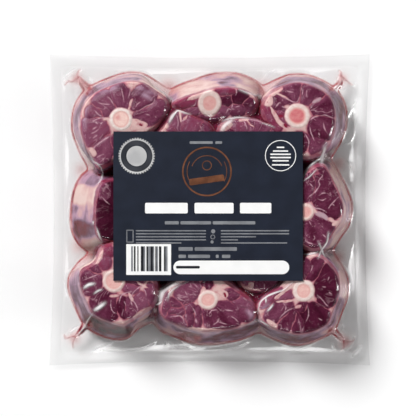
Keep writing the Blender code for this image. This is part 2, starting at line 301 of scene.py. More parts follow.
@dataclass(frozen=True)
class RawMeat(Finish):
    """Raw goat leg, sawn across the bone and wet with its own juice: dull red muscle with cream and
    pink seams, a low gloss and a soft relief of fibre."""
    name: str = "raw_goat_meat_sawn_wet"
    muscle: tuple = ((0.0, "#2a0717"), (0.25, "#3e0c22"), (0.38, "#511831"), (0.5, "#6a3049"),
                     (0.64, "#844a63"), (0.85, "#7f2743"), (1.0, "#8c1f38"))
    seam: tuple = ((0.0, "#d5b1ae"), (0.45, "#c99a9c"), (0.75, "#b27482"), (1.0, "#93485d"))
    cream: str = "#dfbcb8"
    pink_fat: str = "#c67f86"
    silverskin: str = "#a08ca0"
    # Marbling lines and flecks, partly painted glints of the film over the meat.
    vein: str = "#c89eab"
    # Silverskin near the rims, partly a painted sheen of the film where it faces the light.
    skin: str = "#b595aa"
    rim: tuple = ((0.3, "#7a1c38"), (0.5, "#86324c"), (0.7, "#9c7086"))
    bone: tuple = ((0.0, "#e3cec9"), (1.0, "#ecdfd9"))
    flushed_bone: str = "#e3a8a1"
    marrow: tuple = ((0.0, "#cc646d"), (0.4, "#de9c9a"), (1.0, "#f6dcd2"))
    marrow_edge: str = "#e1aea8"
    side: tuple = ((0.0, "#2c050d"), (0.14, "#66101f"), (0.28, "#5c3246"), (0.42, "#7d5e74"),
                   (0.56, "#a27e93"), (0.7, "#b68d91"), (0.85, "#c09c97"), (1.0, "#c8aea8"))

    def surface(self, add: Callable[..., Socket]) -> Socket:
        """One shader for all slices: the vertex attributes say which tissue is where.

        Args:
            add: adds a node to the material.

        Returns:
            The shader.
        """
        place = add("TexCoord", out="Object")
        value = {key: add("Attribute", out="Fac", attribute_name=key)
                 for key in ("flesh", "tone", "pale", "rim", "bone", "marrow", "vein", "skin", "wall",
                             "side")}
        grain, run = (add("Attribute", out="Vector", attribute_name=key) for key in ("grain", "streak"))

        # Clouds: name, coordinates, scale and detail. Real fibres are too fine to show at this
        # distance, so they are drawn about twice as coarse, at 1.6 mm.
        for key, vector, scale, detail in (
                ("frayed", place, period(2.4), 3.0), ("bundles", grain, 1.0 / 7.0, 3.0),
                ("fibres", place, period(1.6), 3.0), ("marbling", grain, 1.0 / 9.0, 2.0),
                ("patchy", place, period(12.0), 1.0), ("fleck", place, period(2.6), 2.0),
                ("sparse", place, period(5.0), 2.0), ("seams", place, period(4.0), 3.0),
                ("pinkish", place, period(3.4), 4.0), ("rims", place, period(13.0), 3.0),
                ("streaks", run, 1.0 / 4.0, 4.0), ("patches", place, period(17.0), 3.0),
                ("overhang", place, period(7.0), 2.0), ("mottle", place, period(3.0), 3.0)):
            value[key] = add("TexNoise", {"Vector": vector, "Scale": scale, "Detail": detail})
        for key in ("marbling", "fleck"):
            value[key] = add("Math", (add("Math", (value[key], 0.5), operation="SUBTRACT"),),
                             operation="ABSOLUTE")

        # Fields made uneven: name, cloud, weight and the field that the cloud is added to.
        for key, cloud, weight, field in (
                ("depth", "frayed", 0.9, "flesh"), ("bundled", "bundles", 0.46, "tone"),
                ("muscle_tone", "fibres", 0.26, "bundled"), ("seam_depth", "seams", 1.2, "depth"),
                ("vein_and_glint_depth", "frayed", 1.2, "vein"), ("rim_depth", "rims", 2.6, "rim"),
                ("streaked", "streaks", 0.8, "side"), ("side_tone", "patches", 1.1, "streaked"),
                ("hang", "overhang", -0.8, "wall"), ("bone_depth", "mottle", 0.5, "bone"),
                ("marrow_tone", "mottle", 0.5, "tone"), ("marrow_depth", "mottle", 0.6, "marrow")):
            value[key] = add("Math", (value[cloud], weight, value[field]), operation="MULTIPLY_ADD")

        # Levels: name, field, where it starts and is full, how much it then covers, and its rise.
        for key, field, low, high, most, rise in (
                ("in_muscle", "depth", 0.35, 0.75, 1.0, "SMOOTHSTEP"),
                ("in_lines", "marbling", 0.022, 0.004, 1.0, "SMOOTHSTEP"),
                ("in_patches", "patchy", 0.52, 0.62, 1.0, "SMOOTHSTEP"),
                ("in_flecks", "fleck", 0.06, 0.0, 1.0, "SMOOTHSTEP"),
                ("in_sparse", "sparse", 0.58, 0.66, 1.0, "SMOOTHSTEP"),
                ("in_pale_muscle", "tone", 0.2, 0.45, 0.5, "SMOOTHSTEP"),
                ("in_bundles", "bundles", 0.25, 0.6, 0.85, "SMOOTHSTEP"),
                ("in_cream", "pale", 0.1, 1.0, 0.75, "SMOOTHSTEP"),
                ("in_pink", "pinkish", 0.5, 0.68, 0.7, "SMOOTHSTEP"),
                ("in_silver", "pale", -0.1, -1.0, 0.85, "SMOOTHSTEP"),
                ("in_vein_and_glint", "vein_and_glint_depth", 0.8, 1.6, 0.88, "SMOOTHSTEP"),
                ("in_rim", "rim_depth", 2.5, 1.5, 0.75, "SMOOTHSTEP"),
                ("on_side", "hang", -0.1, 0.2, 1.0, "SMOOTHSTEP"),
                ("in_bone", "bone_depth", -0.9, 1.3, 1.0, "SMOOTHSTEP"),
                ("at_marrow_edge", "marrow_depth", 2.6, 0.6, 1.0, "SMOOTHSTEP"),
                ("in_marrow", "marrow_depth", -0.5, 0.9, 1.0, "SMOOTHSTEP"),
                ("muscle", "muscle_tone", 0.35, 1.35, 1.0, "LINEAR"),
                ("face", "seam_depth", -1.6, 1.3, 1.0, "SMOOTHSTEP"),
                ("rim", "rims", 0.0, 1.0, 1.0, "LINEAR"), ("side", "side_tone", 0.95, 1.95, 1.0, "LINEAR"),
                ("bone", "mottle", 0.35, 0.65, 1.0, "SMOOTHSTEP"),
                ("marrow", "marrow_tone", 0.25, 1.25, 1.0, "LINEAR")):
            value[key] = add("MapRange", {"Value": value[field], "From Min": low, "From Max": high,
                                          "To Max": most}, interpolation_type=rise)
        for key, first, second in (
                ("in_lines", "in_lines", "in_patches"), ("in_flecks", "in_flecks", "in_sparse"),
                ("in_lines", "in_lines", "in_pale_muscle"), ("in_flecks", "in_flecks", "in_pale_muscle"),
                # Skins: silverskin, partly a painted sheen of the film.
                ("in_skin_sheen", "skin", "in_bundles")):
            value[key] = add("Math", (value[first], value[second]), operation="MULTIPLY")

        # Tissues: each one's colours, then what lies over what. A face starts as seam; muscle, rim,
        # walls, bone and marrow come over it.
        colour = {key: add("ValToRGB", {"Fac": value[key]}, stops=stops)
                  for key, stops in (("muscle", self.muscle), ("face", self.seam), ("rim", self.rim),
                                     ("side", self.side), ("bone", self.bone), ("marrow", self.marrow))}
        # The vein colour is marbling, partly painted glints; the skin colour is silverskin, partly painted
        # film sheen.
        for under, over, cover in (
                ("muscle", linear(self.vein), "in_lines"), ("muscle", linear(self.vein), "in_flecks"),
                ("muscle", linear(self.skin), "in_skin_sheen"), ("face", linear(self.cream), "in_cream"),
                ("face", linear(self.pink_fat), "in_pink"), ("face", linear(self.silverskin), "in_silver"),
                ("face", "muscle", "in_muscle"), ("face", linear(self.vein), "in_vein_and_glint"),
                ("face", "rim", "in_rim"), ("face", "side", "on_side"),
                ("bone", linear(self.flushed_bone), "pale"), ("face", "bone", "in_bone"),
                ("marrow", linear(self.marrow_edge), "at_marrow_edge"), ("face", "marrow", "in_marrow")):
            colour[under] = add("Mix", {0: value[cover], 6: colour[under], 7: colour.get(over, over)}, 2,
                                data_type="RGBA")

        fine = add("Math", (value["fibres"], 0.35), operation="MULTIPLY")
        relief = add("Math", (value["bundles"], 0.5, fine), operation="MULTIPLY_ADD")
        return add("BsdfPrincipled", {
            "Base Color": colour["face"], "IOR": 1.4, "Specular IOR Level": 0.25,
            "Roughness": add("Math", (value["mottle"], 0.2, 0.3), operation="MULTIPLY_ADD"),
            "Normal": add("Bump", {"Height": relief, "Strength": 0.35, "Distance": 0.4 * MM})})


@dataclass(frozen=True)
class VacuumFilm(Finish):
    """Clear nylon and polyethylene film, blown, heat sealed and drawn tight by the vacuum: clear with
    a sharp gloss, matt along the weld, and white along its creases, partly stress whitening and partly a
    painted highlight."""
    name: str = "clear_vacuum_film_blown_sealed"
    clear: str = "#fefefe"
    # White of the creases: partly stress whitening, partly a painted highlight where the film would glint.
    stress_white_and_glint: str = "#f6f3f4"
    roughness: float = 0.07
    matt_rise: float = 0.25
    ior: float = 1.4
    grazing: float = 0.35
    sheen_rise: float = 0.09
    ripple: float = 9.0

    def surface(self, add: Callable[..., Socket]) -> Socket:
        """Transparent film with the gloss of a sheet's two faces, and creases painted white:
        partly stress whitening, partly painted highlight.

        Args:
            add: adds a node to the material.

        Returns:
            The shader.
        """
        # Crease white attribute: partly stress whitening, partly painted highlight.
        matt, sheen, milk = (add("Attribute", out="Fac", attribute_name=key)
                             for key in ("matt", "sheen", "milk"))
        ripples = add("TexNoise", {"Vector": add("TexCoord", out="Object"), "Scale": period(self.ripple),
                                   "Detail": 2.0, "Distortion": 0.6})
        bump = add("Bump", {"Height": ripples, "Strength": 0.15, "Distance": 0.2 * MM})
        facing = add("LayerWeight", {"Normal": bump, "Blend": 0.5}, "Facing")
        aslant = add("Math", (facing, 5.0), operation="POWER")
        one_face = ((self.ior - 1.0) / (self.ior + 1.0)) ** 2
        head_on = 2.0 * one_face / (1.0 + one_face)
        fresnel = add("Math", (aslant, self.grazing, head_on), operation="MULTIPLY_ADD")
        share = add("Math", (sheen, self.sheen_rise, fresnel), operation="MULTIPLY_ADD")
        rough = add("Math", (matt, self.matt_rise, self.roughness), operation="MULTIPLY_ADD")
        clear = add("BsdfTransparent", {"Color": linear(self.clear)})
        gloss = add("BsdfGlossy", {"Color": WHITE, "Roughness": rough, "Normal": bump})
        # Diffuse white along the creases: a painted highlight, partly stress whitening.
        white = add("BsdfDiffuse", {"Color": linear(self.stress_white_and_glint)})
        return add("MixShader", (milk, add("MixShader", (share, clear, gloss)), white))


@dataclass(frozen=True)
class MeatJuice(Finish):
    """Thin red meat juice, drawn by the vacuum into the wedge between the films: pink where thin,
    maroon where deep, and as glossy as water. Its darkest maroon, in the valleys between slices, is
    partly painted shade."""
    name: str = "meat_juice_pooled"
    # The darkest stops colour the valleys between slices: juice, partly painted shade.
    colours: tuple = ((0.1, "#dc8d87"), (0.45, "#bb4144"), (0.8, "#941f2e"), (0.93, "#6c1624"),
                      (1.0, "#5e1a30"))
    roughness: float = 0.12
    ior: float = 1.34

    def surface(self, add: Callable[..., Socket]) -> Socket:
        """Juice that reddens with its depth and thins out to clear film.

        Args:
            add: adds a node to the material.

        Returns:
            The shader.
        """
        wet, cover = (add("Attribute", out="Fac", attribute_name=key) for key in ("wet", "cover"))
        colour = add("ValToRGB", {"Fac": wet}, stops=self.colours)
        juice = add("BsdfPrincipled", {"Base Color": colour, "Roughness": self.roughness, "IOR": self.ior})
        return add("MixShader", (cover, add("BsdfTransparent"), juice))


@dataclass(frozen=True)
class Sheet(Finish):
    """Paper, card, or the ink or foil on it: two close tones that drift into each other, with the
    sheet's own tooth where it is bare."""
    dark: str
    light: str
    roughness: float
    metallic: float = 0.0
    drift: float = 14.0
    detail: float = 3.0
    contrast: float = 0.15
    specular: float = 0.5
    tooth: float = 0.0
    tooth_strength: float = 0.15

    def surface(self, add: Callable[..., Socket]) -> Socket:
        """Mottled tone, and a bump for the tooth if there is one.

        Args:
            add: adds a node to the material.

        Returns:
            The shader.
        """
        place = add("TexCoord", out="Object")
        cloud = add("TexNoise", {"Vector": place, "Scale": period(self.drift), "Detail": self.detail})
        colour = add("ValToRGB", {"Fac": cloud},
                     stops=((0.5 - self.contrast, self.dark), (0.5 + self.contrast, self.light)))
        inputs = {"Base Color": colour, "Roughness": self.roughness, "Metallic": self.metallic,
                  "Specular IOR Level": self.specular}
        if self.tooth:
            grit = add("TexNoise", {"Vector": place, "Scale": period(self.tooth), "Detail": 2.0})
            inputs["Normal"] = add("Bump", {"Height": grit, "Strength": self.tooth_strength,
                                            "Distance": 0.05 * MM})
        return add("BsdfPrincipled", inputs)


# Coated paper card, printed in solid slate and varnished: satin, with a faint mottle of the ink.
COATED_CARD = Sheet("coated_card_offset_printed", "#212530", "#262b38", 0.36, detail=6.0, contrast=0.2,
                    tooth=1.1)
# White seamless paper: dead matt, with a grain too fine to see at this distance.
PAPER = Sheet("white_paper_matt", "#f7f7f7", "#f7f7f7", 0.9, specular=0.1, tooth=2.0, tooth_strength=0.1)


class Ink(Enum):
    """Inks and foils of the label: flat inks a little uneven, foils with a soft metal sheen."""
    WHITE = Sheet("white_ink_offset_printed", "#f3f3f2", "#f8f8f7", 0.5)
    GREY = Sheet("grey_ink_offset_printed", "#74767b", "#8b8d91", 0.5)
    SMOKE = Sheet("smoke_grey_ink_offset_printed", "#2e3036", "#3e4046", 0.5)
    BLACK = Sheet("black_ink_offset_printed", "#17181c", "#22242a", 0.5)
    SILVER = Sheet("silver_foil_hot_stamped", "#c0c0c1", "#e2e2e0", 0.45, 0.2, 26.0)
    COPPER = Sheet("copper_foil_hot_stamped", "#6b4331", "#8a5940", 0.45, 0.3, 9.0)


class Attribute(Enum):
    """Kinds of vertex attribute, with the property that holds their values."""
    FLOAT = "value"
    FLOAT_VECTOR = "vector"


def make_piece(name: str, verts: Array, faces: Any, finish: Material, slot: Optional[Slot] = None,
               stands_for: Optional[CadNode] = None, fields: Optional[Fields] = None) -> Piece:
    """Makes a smooth-shaded mesh object in metres; one with a slot rides on the body and is reported.

    Args:
        name: the piece's name.
        verts: points in millimetres, count x 3.
        faces: point numbers of each face, as a list or an array.
        finish: material of the piece.
        slot: name of its finish's slot, which is logged.
        stands_for: CAD node that it replaces.
        fields: values for each point, count or count x 3, by attribute name.

    Returns:
        The new object.
    """
    mesh = bpy.data.meshes.new(name)
    mesh.from_pydata((verts * MM).tolist(), [], faces if isinstance(faces, list) else faces.tolist())
    mesh.shade_smooth()
    for key, values in (fields or {}).items():
        kind = Attribute.FLOAT if values.ndim == 1 else Attribute.FLOAT_VECTOR
        layer = mesh.attributes.new(key, kind.name, "POINT")
        layer.data.foreach_set(kind.value, np.ascontiguousarray(values, np.float32).ravel())
    mesh.materials.append(finish)
    mesh.update()
    piece = bpy.data.objects.new(name, mesh)
    bpy.context.scene.collection.objects.link(piece)
    if slot:
        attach(piece, BODY)
        LOG.info("%s: %d faces, slot %s", name, len(faces), slot.value)
    if stands_for:
        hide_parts(stands_for.value)
    return piece


@dataclass(frozen=True)
class Patch:
    """Oval of one tissue: centre, half sizes in mm, tone, and turn in degrees."""
    x: float
    y: float
    across: float
    along: float
    tone: float = 0.5
    turn: float = 0.0

    def gap(self, points: Array) -> Array:
        """Distance of points from the oval's edge.

        Args:
            points: places, count x 2.

        Returns:
            Millimetres, negative inside.
        """
        angle = math.radians(self.turn)
        dx, dy = points[:, 0] - self.x, points[:, 1] - self.y
        u = dx * math.cos(angle) + dy * math.sin(angle)
        v = dy * math.cos(angle) - dx * math.sin(angle)
        reach = np.hypot(u / self.across, v / self.along) + 1e-6
        return np.hypot(u, v) * (1.0 - 1.0 / reach)


@dataclass(frozen=True)
class Bone:
    """Cut leg bone: centre, half sizes, radius of its marrow and the marrow's tone; how pink the
    bone is, and where a red spot of the marrow lies."""
    x: float
    y: float
    across: float
    along: float
    marrow: float
    tone: float = 0.8
    flush: float = 0.0
    spot: Optional[tuple] = None


class Unrest(Enum):
    """A slice's random fields, each by the size of its blobs in mm and its number."""
    WARP = (8.0, 0)
    FINE_WARP = (3.2, 20)
    SEAMS = (6.0, 5)
    JOINS = (13.0, 9)
    RIM = (11.0, 7)
    WALL = (11.0, 3)
    BANDS = (12.0, 31)
    SIDE_WARP = (7.0, 33)


@dataclass(frozen=True)
class LegSlice:
    """One slice of leg: its cut face, what lies where on it, and how its walls stand.

    The outline is x and y of each point in turn, and so are veins and skins, the lines on the face:
    veins are marbling, partly painted glints of the film, and skins silverskin, partly a painted sheen of
    the film.
    Muscles, fats, bits (meat inside fat) and sides (patches of the walls) are rows of a Patch: x, y,
    half sizes, tone and turn. Lengths are in mm and turns in degrees.
    """
    name: str
    seed: int
    outline: tuple
    muscles: tuple
    fats: tuple = ()
    bits: tuple = ()
    # Marbling lines, partly painted glints of the film.
    veins_and_glints: tuple = ()
    # Silverskin lines, partly a painted sheen of the film near the lit rims.
    skins_and_sheens: tuple = ()
    sides: tuple = ()
    bone: Optional[Bone] = None
    side_tone: float = 0.45
    rim_width: float = 1.0
    rise: float = 0.0
    fall: tuple = (0.0, 0.0)
    lean: tuple = (0.0, 0.0)
    hidden: bool = False
    top: float = 41.0
    widest: float = 10.0
    edge_round: float = 3.2
    inner_bulge: float = 3.0
    bulge_bend: float = 0.55
    wall_spread: float = 2.5
    outer_spread: float = 6.5
    foot_tuck: float = 6.0
    lift: float = 0.35
    dome: float = 0.45
    groove: float = 0.3
    bone_stand: float = 0.45
    marrow_sink: float = 0.1575
    # Half width of the veins: marbling and painted glints.
    vein_and_glint_half: float = 0.65
    # Half width of the skins: silverskin and painted sheen.
    skin_sheen_half: float = 2.3
    muscle_reach: float = 2.6
    warp: tuple = (1.2, 0.5)
    bone_warp: float = 0.35
    side_warp: float = 3.0
    seam_half: float = 0.3
    join: float = 0.5
    fat_blur: float = 0.6
    bit_edge: float = 0.4
    rim_waver: tuple = (0.2, 1.3)
    bone_edge: float = 0.5
    bone_seam: float = 0.8
    spot_depth: float = 0.5
    no_bone: float = -9.0
    grain_round: float = 24.0
    grain_out: float = 0.35
    grain_steps: tuple = (37.0, 17.0, 9.0)
    streak_round: float = 0.22
    streak_step: float = 11.0
    face_crown: float = 0.5
    face_dip: float = 0.1
    brow_turns: tuple = (22.0, 45.0, 68.0, 90.0)
    foot_turns: tuple = (18.0, 36.0, 54.0, 72.0, 90.0)
    wall_inset: float = -0.2
    wall_bumps: float = 0.7
    bumps_down: float = 33.0
    foot_depth: float = 34.0
    base_depth: float = 44.0
    # Darker tone of walls that face other slices: painted shade of the valleys between them.
    inner_shade_tone: float = 0.3
    band_wander: float = 7.0
    band_share: float = 0.5
    side_blur: tuple = (-4.0, 3.0)
    band_depths: tuple = (0.0, 4.0, 8.0, 13.0, 19.0, 26.0, 32.0, 38.0, 44.0)
    band_tones: tuple = (0.0, 0.1, 0.22, -0.1, -0.16, 0.2, 0.26, -0.3, -0.45)

    def noise(self, x: Array, y: Array, kind: Unrest, nth: int = 0) -> Array:
        """One of the slice's own random fields, or the next one of its kind."""
        return field_noise(x, y, kind.value[0], self.seed + kind.value[1] + nth)

    def tissue(self, plan: Array, rim: Array) -> Fields:
        """Which tissue lies at each place of the cut face.

        Args:
            plan: places on the face, count x 2.
            rim: their distances from the face's outline.

        Returns:
            Attribute values by name.
        """
        x, y = plan.T
        coarse, fine = (np.stack([self.noise(x, y, kind, k) for k in (0, 1)], axis=1)
                        for kind in (Unrest.WARP, Unrest.FINE_WARP))
        shift = self.warp[0] * coarse + self.warp[1] * fine
        warped = plan + shift
        gaps = np.stack([Patch(*row).gap(warped) for row in self.muscles])
        nearest, gaps = gaps.argmin(axis=0), np.sort(gaps, axis=0)
        flesh = self.muscle_reach - gaps[0]
        if len(gaps) > 1:
            joined = self.join * smooth_step(self.noise(x, y, Unrest.JOINS), 0.0, 0.5)
            flesh = np.minimum(flesh, (gaps[1] - gaps[0]) / 2.0 + joined)
        flesh -= self.seam_half * (1.0 + self.noise(x, y, Unrest.SEAMS))
        tone = np.array([Patch(*row).tone for row in self.muscles], float)[nearest]
        pale = np.zeros(len(plan))
        for patch in (Patch(*row) for row in self.fats):
            gap = patch.gap(warped)
            flesh = np.minimum(flesh, gap)
            pale += (patch.tone - pale) * smooth_step(-gap, -self.fat_blur, self.fat_blur)
        for patch in (Patch(*row) for row in self.bits):
            gap = patch.gap(warped)
            flesh = np.maximum(flesh, -gap)
            tone = np.where(gap < self.bit_edge, patch.tone, tone)
        thick = self.rim_waver[0] + self.rim_waver[1] * self.noise(x, y, Unrest.RIM)
        flesh = np.minimum(flesh, rim - self.rim_width * thick)
        bone = marrow = np.full(len(plan), self.no_bone)
        centre = plan.mean(axis=0)
        if self.bone:
            centre = (self.bone.x, self.bone.y)
            slim = self.bone.marrow / max(self.bone.across, self.bone.along)
            bone, marrow = (-Patch(*centre, self.bone.across * size, self.bone.along * size).gap(
                plan + self.bone_warp * shift) for size in (1.0, slim))
            flesh = np.minimum(flesh, -bone - self.bone_seam)
            tone = np.where(bone > -self.bone_edge, self.bone.tone, tone)
            pale = np.where(bone > -self.bone_edge, self.bone.flush, pale)
            if self.bone.spot:
                spot_x, spot_y, reach = self.bone.spot
                tone -= self.spot_depth * bell(np.hypot(x - spot_x, y - spot_y), reach)
        angle, reach = np.arctan2(y - centre[1], x - centre[0]), np.hypot(x - centre[0], y - centre[1])
        grain = np.stack((self.grain_round * np.cos(angle), self.grain_round * np.sin(angle),
                          self.grain_out * reach), axis=1)
        grain += np.stack((nearest, nearest, np.full(len(plan), self.seed)), axis=1) * self.grain_steps
        # Veins are marbling, partly painted glints; skins are silverskin, partly a painted film sheen.
        return {"flesh": flesh, "tone": tone, "pale": pale, "rim": rim, "bone": bone, "marrow": marrow,
                "vein": self.strokes(x, y, self.veins_and_glints, self.vein_and_glint_half),
                "skin": self.strokes(x, y, self.skins_and_sheens, self.skin_sheen_half), "grain": grain}

    @staticmethod
    def strokes(x: Array, y: Array, rows: tuple, half: float) -> Array:
        """Strength at each place of some lines that thin out towards their ends.

        Args:
            x: first coordinate of the places.
            y: second coordinate.
            rows: x and y of each point in turn, one row to a line.
            half: half width of the lines.

        Returns:
            Values from 0 to 1.
        """
        strength = np.zeros(len(x))
        for row in rows:
            gap, share = curve_gap(x, y, row)
            strength = np.maximum(strength, (0.5 + 0.5 * np.sin(math.pi * share)) * bell(gap, half))
        return strength

    def side_tones(self, places: Array, outward: Array, down: Array) -> Array:
        """Tone of the walls: wandering bands of fat, silverskin and muscle down to a red foot, and a darker
        tone, painted shade, on walls that face other slices.

        Args:
            places: points of the walls, count x 2.
            outward: 1 where the wall faces the pouch's edge, 0 where it faces other slices.
            down: depth of the points under the face, in mm.

        Returns:
            Tone from 0, bare muscle, to 1, cream fat.
        """
        x, y = places.T
        wander = self.band_wander * self.noise(x, y, Unrest.BANDS)
        band = np.interp(down + wander, self.band_depths, self.band_tones)
        # Walls facing other slices take the darker inner tone: painted shade in the valleys.
        tone = (self.side_tone + band) * outward + self.inner_shade_tone * (1.0 - outward)
        warped = places + self.side_warp * np.stack(
            [self.noise(x, y, Unrest.SIDE_WARP, k) for k in (0, 1)], axis=1)
        for patch in (Patch(*row) for row in self.sides):
            inside = smooth_step(-patch.gap(warped), *self.side_blur)
            tone = tone * (1.0 - inside) + (patch.tone + self.band_share * band) * inside
        return tone

    def rings(self, edge: Array, length: float, outward: Array, counts: tuple) -> list[tuple]:
        """Rings of the slice, from the face's middle over the brow to the base.

        Args:
            edge: points of the outline.
            length: length of the outline.
            outward: 1 where the wall faces the pouch's edge, 0 where it faces other slices.
            counts: how many rings the face, the wall and the base have.

        Returns:
            For each ring its places and heights, the places on the face whose tissue it shows, how
            much of a wall it is, and its depth.
        """
        face_rings, wall_rings, base_rings = counts
        centre, normals = edge.mean(axis=0), outward_normals(edge)
        spread = self.wall_spread + self.outer_spread * outward
        spread += np.maximum(0.0, normals @ np.array(self.lean))
        along = np.linspace(0.0, length, len(edge), endpoint=False)

        def at(offset: Any) -> Array:
            """The outline moved outwards."""
            return edge + normals * np.reshape(offset, (-1, 1))

        def face(points: Array) -> Array:
            """Height of the cut at some places."""
            return self.top + self.rise + (points - centre) @ np.array(self.fall)

        rings: list[tuple] = []
        inner = at(-self.edge_round)
        for share in np.linspace(1.0 / face_rings, 1.0, face_rings):
            points = centre + (inner - centre) * share
            height = face(points) + self.face_crown * (1.0 - share)
            rings.append((points, height - self.face_dip * smooth_step(share, 0.85, 1.0), points, 0.0, 0.0))
        for turn in np.radians(self.brow_turns):
            offset = self.edge_round * (math.sin(turn) - 1.0)
            drop = self.face_dip + (self.edge_round - self.face_dip) * (1.0 - math.cos(turn))
            rings.append((at(offset), face(edge) - drop, at(min(offset, self.wall_inset)), 0.0, drop))
        brow = face(edge) - self.edge_round
        for share in np.linspace(0.0, 1.0, wall_rings + 1)[1:]:
            down = (brow.mean() - self.widest) * share
            bumps = self.wall_bumps * self.noise(along, self.bumps_down * share + 0.0 * along, Unrest.WALL)
            bulge = self.inner_bulge * (1.0 - outward) * math.sin(math.pi * share ** self.bulge_bend)
            rings.append((at(spread * share + bumps * math.sin(math.pi * share) + bulge),
                          brow + (self.widest - brow) * share, at(self.wall_inset),
                          smooth_step(down, 0.0, 5.0), self.edge_round + down))
        for turn in np.radians(self.foot_turns):
            tuck = self.foot_tuck * (1.0 - math.cos(turn))
            height = self.widest * (1.0 - math.sin(turn)) + self.lift * math.sin(turn)
            rings.append((at(spread - tuck), height, inner, 1.0 - smooth_step(math.sin(turn), 0.9, 1.0),
                          self.foot_depth + self.widest * math.sin(turn)))
        for share in np.linspace(1.0, 1.0 / base_rings, base_rings)[1:]:
            rings.append((centre + (at(spread - self.foot_tuck) - centre) * share, self.lift,
                          centre + (inner - centre) * share, 0.0, self.base_depth))
        return rings

    def loft(self) -> tuple[Array, list, Fields]:
        """Joins the slice's rings, with a point in the middle of the face and of the base.

        Returns:
            Points, faces and attribute values.
        """
        count, *counts = (96, 12, 8, 4) if self.hidden else (300, 54, 20, 11)
        edge = closed_curve(self.outline, count)
        length = run_lengths(np.vstack((edge, edge[:1])))[-1]
        facing = np.sum(outward_normals(edge) * edge / np.array(POUCH_HALF), axis=1)
        outward = smooth_step(facing, 0.15, 0.75)
        rings = self.rings(edge, length, outward, tuple(counts))
        places, plan = (np.vstack([ring[k] for ring in rings]) for k in (0, 2))
        heights, wall, down = (np.concatenate([np.broadcast_to(ring[k], count) for ring in rings])
                               for k in (1, 3, 4))
        rim = np.min([np.hypot(*(plan - corner).T) for corner in edge], axis=0)
        fields = self.tissue(plan, rim)
        relief = self.dome * smooth_step(fields["flesh"], 0.0, 3.5)
        relief -= self.groove * bell(fields["flesh"] - 0.1, 0.5)
        relief += self.bone_stand * smooth_step(fields["bone"], -0.2, 1.0)
        relief -= self.marrow_sink * smooth_step(fields["marrow"], -0.5, 0.8)
        relief[count * (counts[0] + 1):] = 0.0
        points = np.column_stack((places, heights + relief * smooth_step(rim, 0.3, 2.5)))
        fields["wall"], fields["side"] = wall, self.side_tones(places, np.tile(outward, len(rings)), down)
        circle = np.tile(np.linspace(0.0, 2.0 * math.pi, count, endpoint=False), len(rings))
        radius = self.streak_round * length / (2.0 * math.pi)
        fields["streak"] = np.stack((radius * np.cos(circle), radius * np.sin(circle),
                                     down + self.streak_step * self.seed), axis=1)

        number = np.arange(len(points)).reshape(-1, count)
        after = np.roll(number, -1, axis=1)
        faces = np.stack((number[:-1], number[1:], after[1:], after[:-1]), axis=-1).reshape(-1, 4).tolist()
        faces += [(len(points), a, b) for a, b in zip(number[0].tolist(), after[0].tolist())]
        faces += [(len(points) + 1, b, a) for a, b in zip(number[-1].tolist(), after[-1].tolist())]
        if turning(edge) < 0.0:
            faces = [face[::-1] for face in faces]
        ends = [np.append(edge.mean(axis=0), points[ring, 2].mean()) for ring in (number[0], number[-1])]
        chosen = np.append(number.ravel(), (number[0, 0], number[-1, 0]))
        return np.vstack((points, ends)), faces, {key: values[chosen] for key, values in fields.items()}

    def build(self, finish: Material) -> Piece:
        """Makes the slice, which stands for the pouch's solid."""
        points, faces, fields = self.loft()
        return make_piece(self.name, points, faces, finish, Slot.MEAT, CadNode.POUCH, fields)


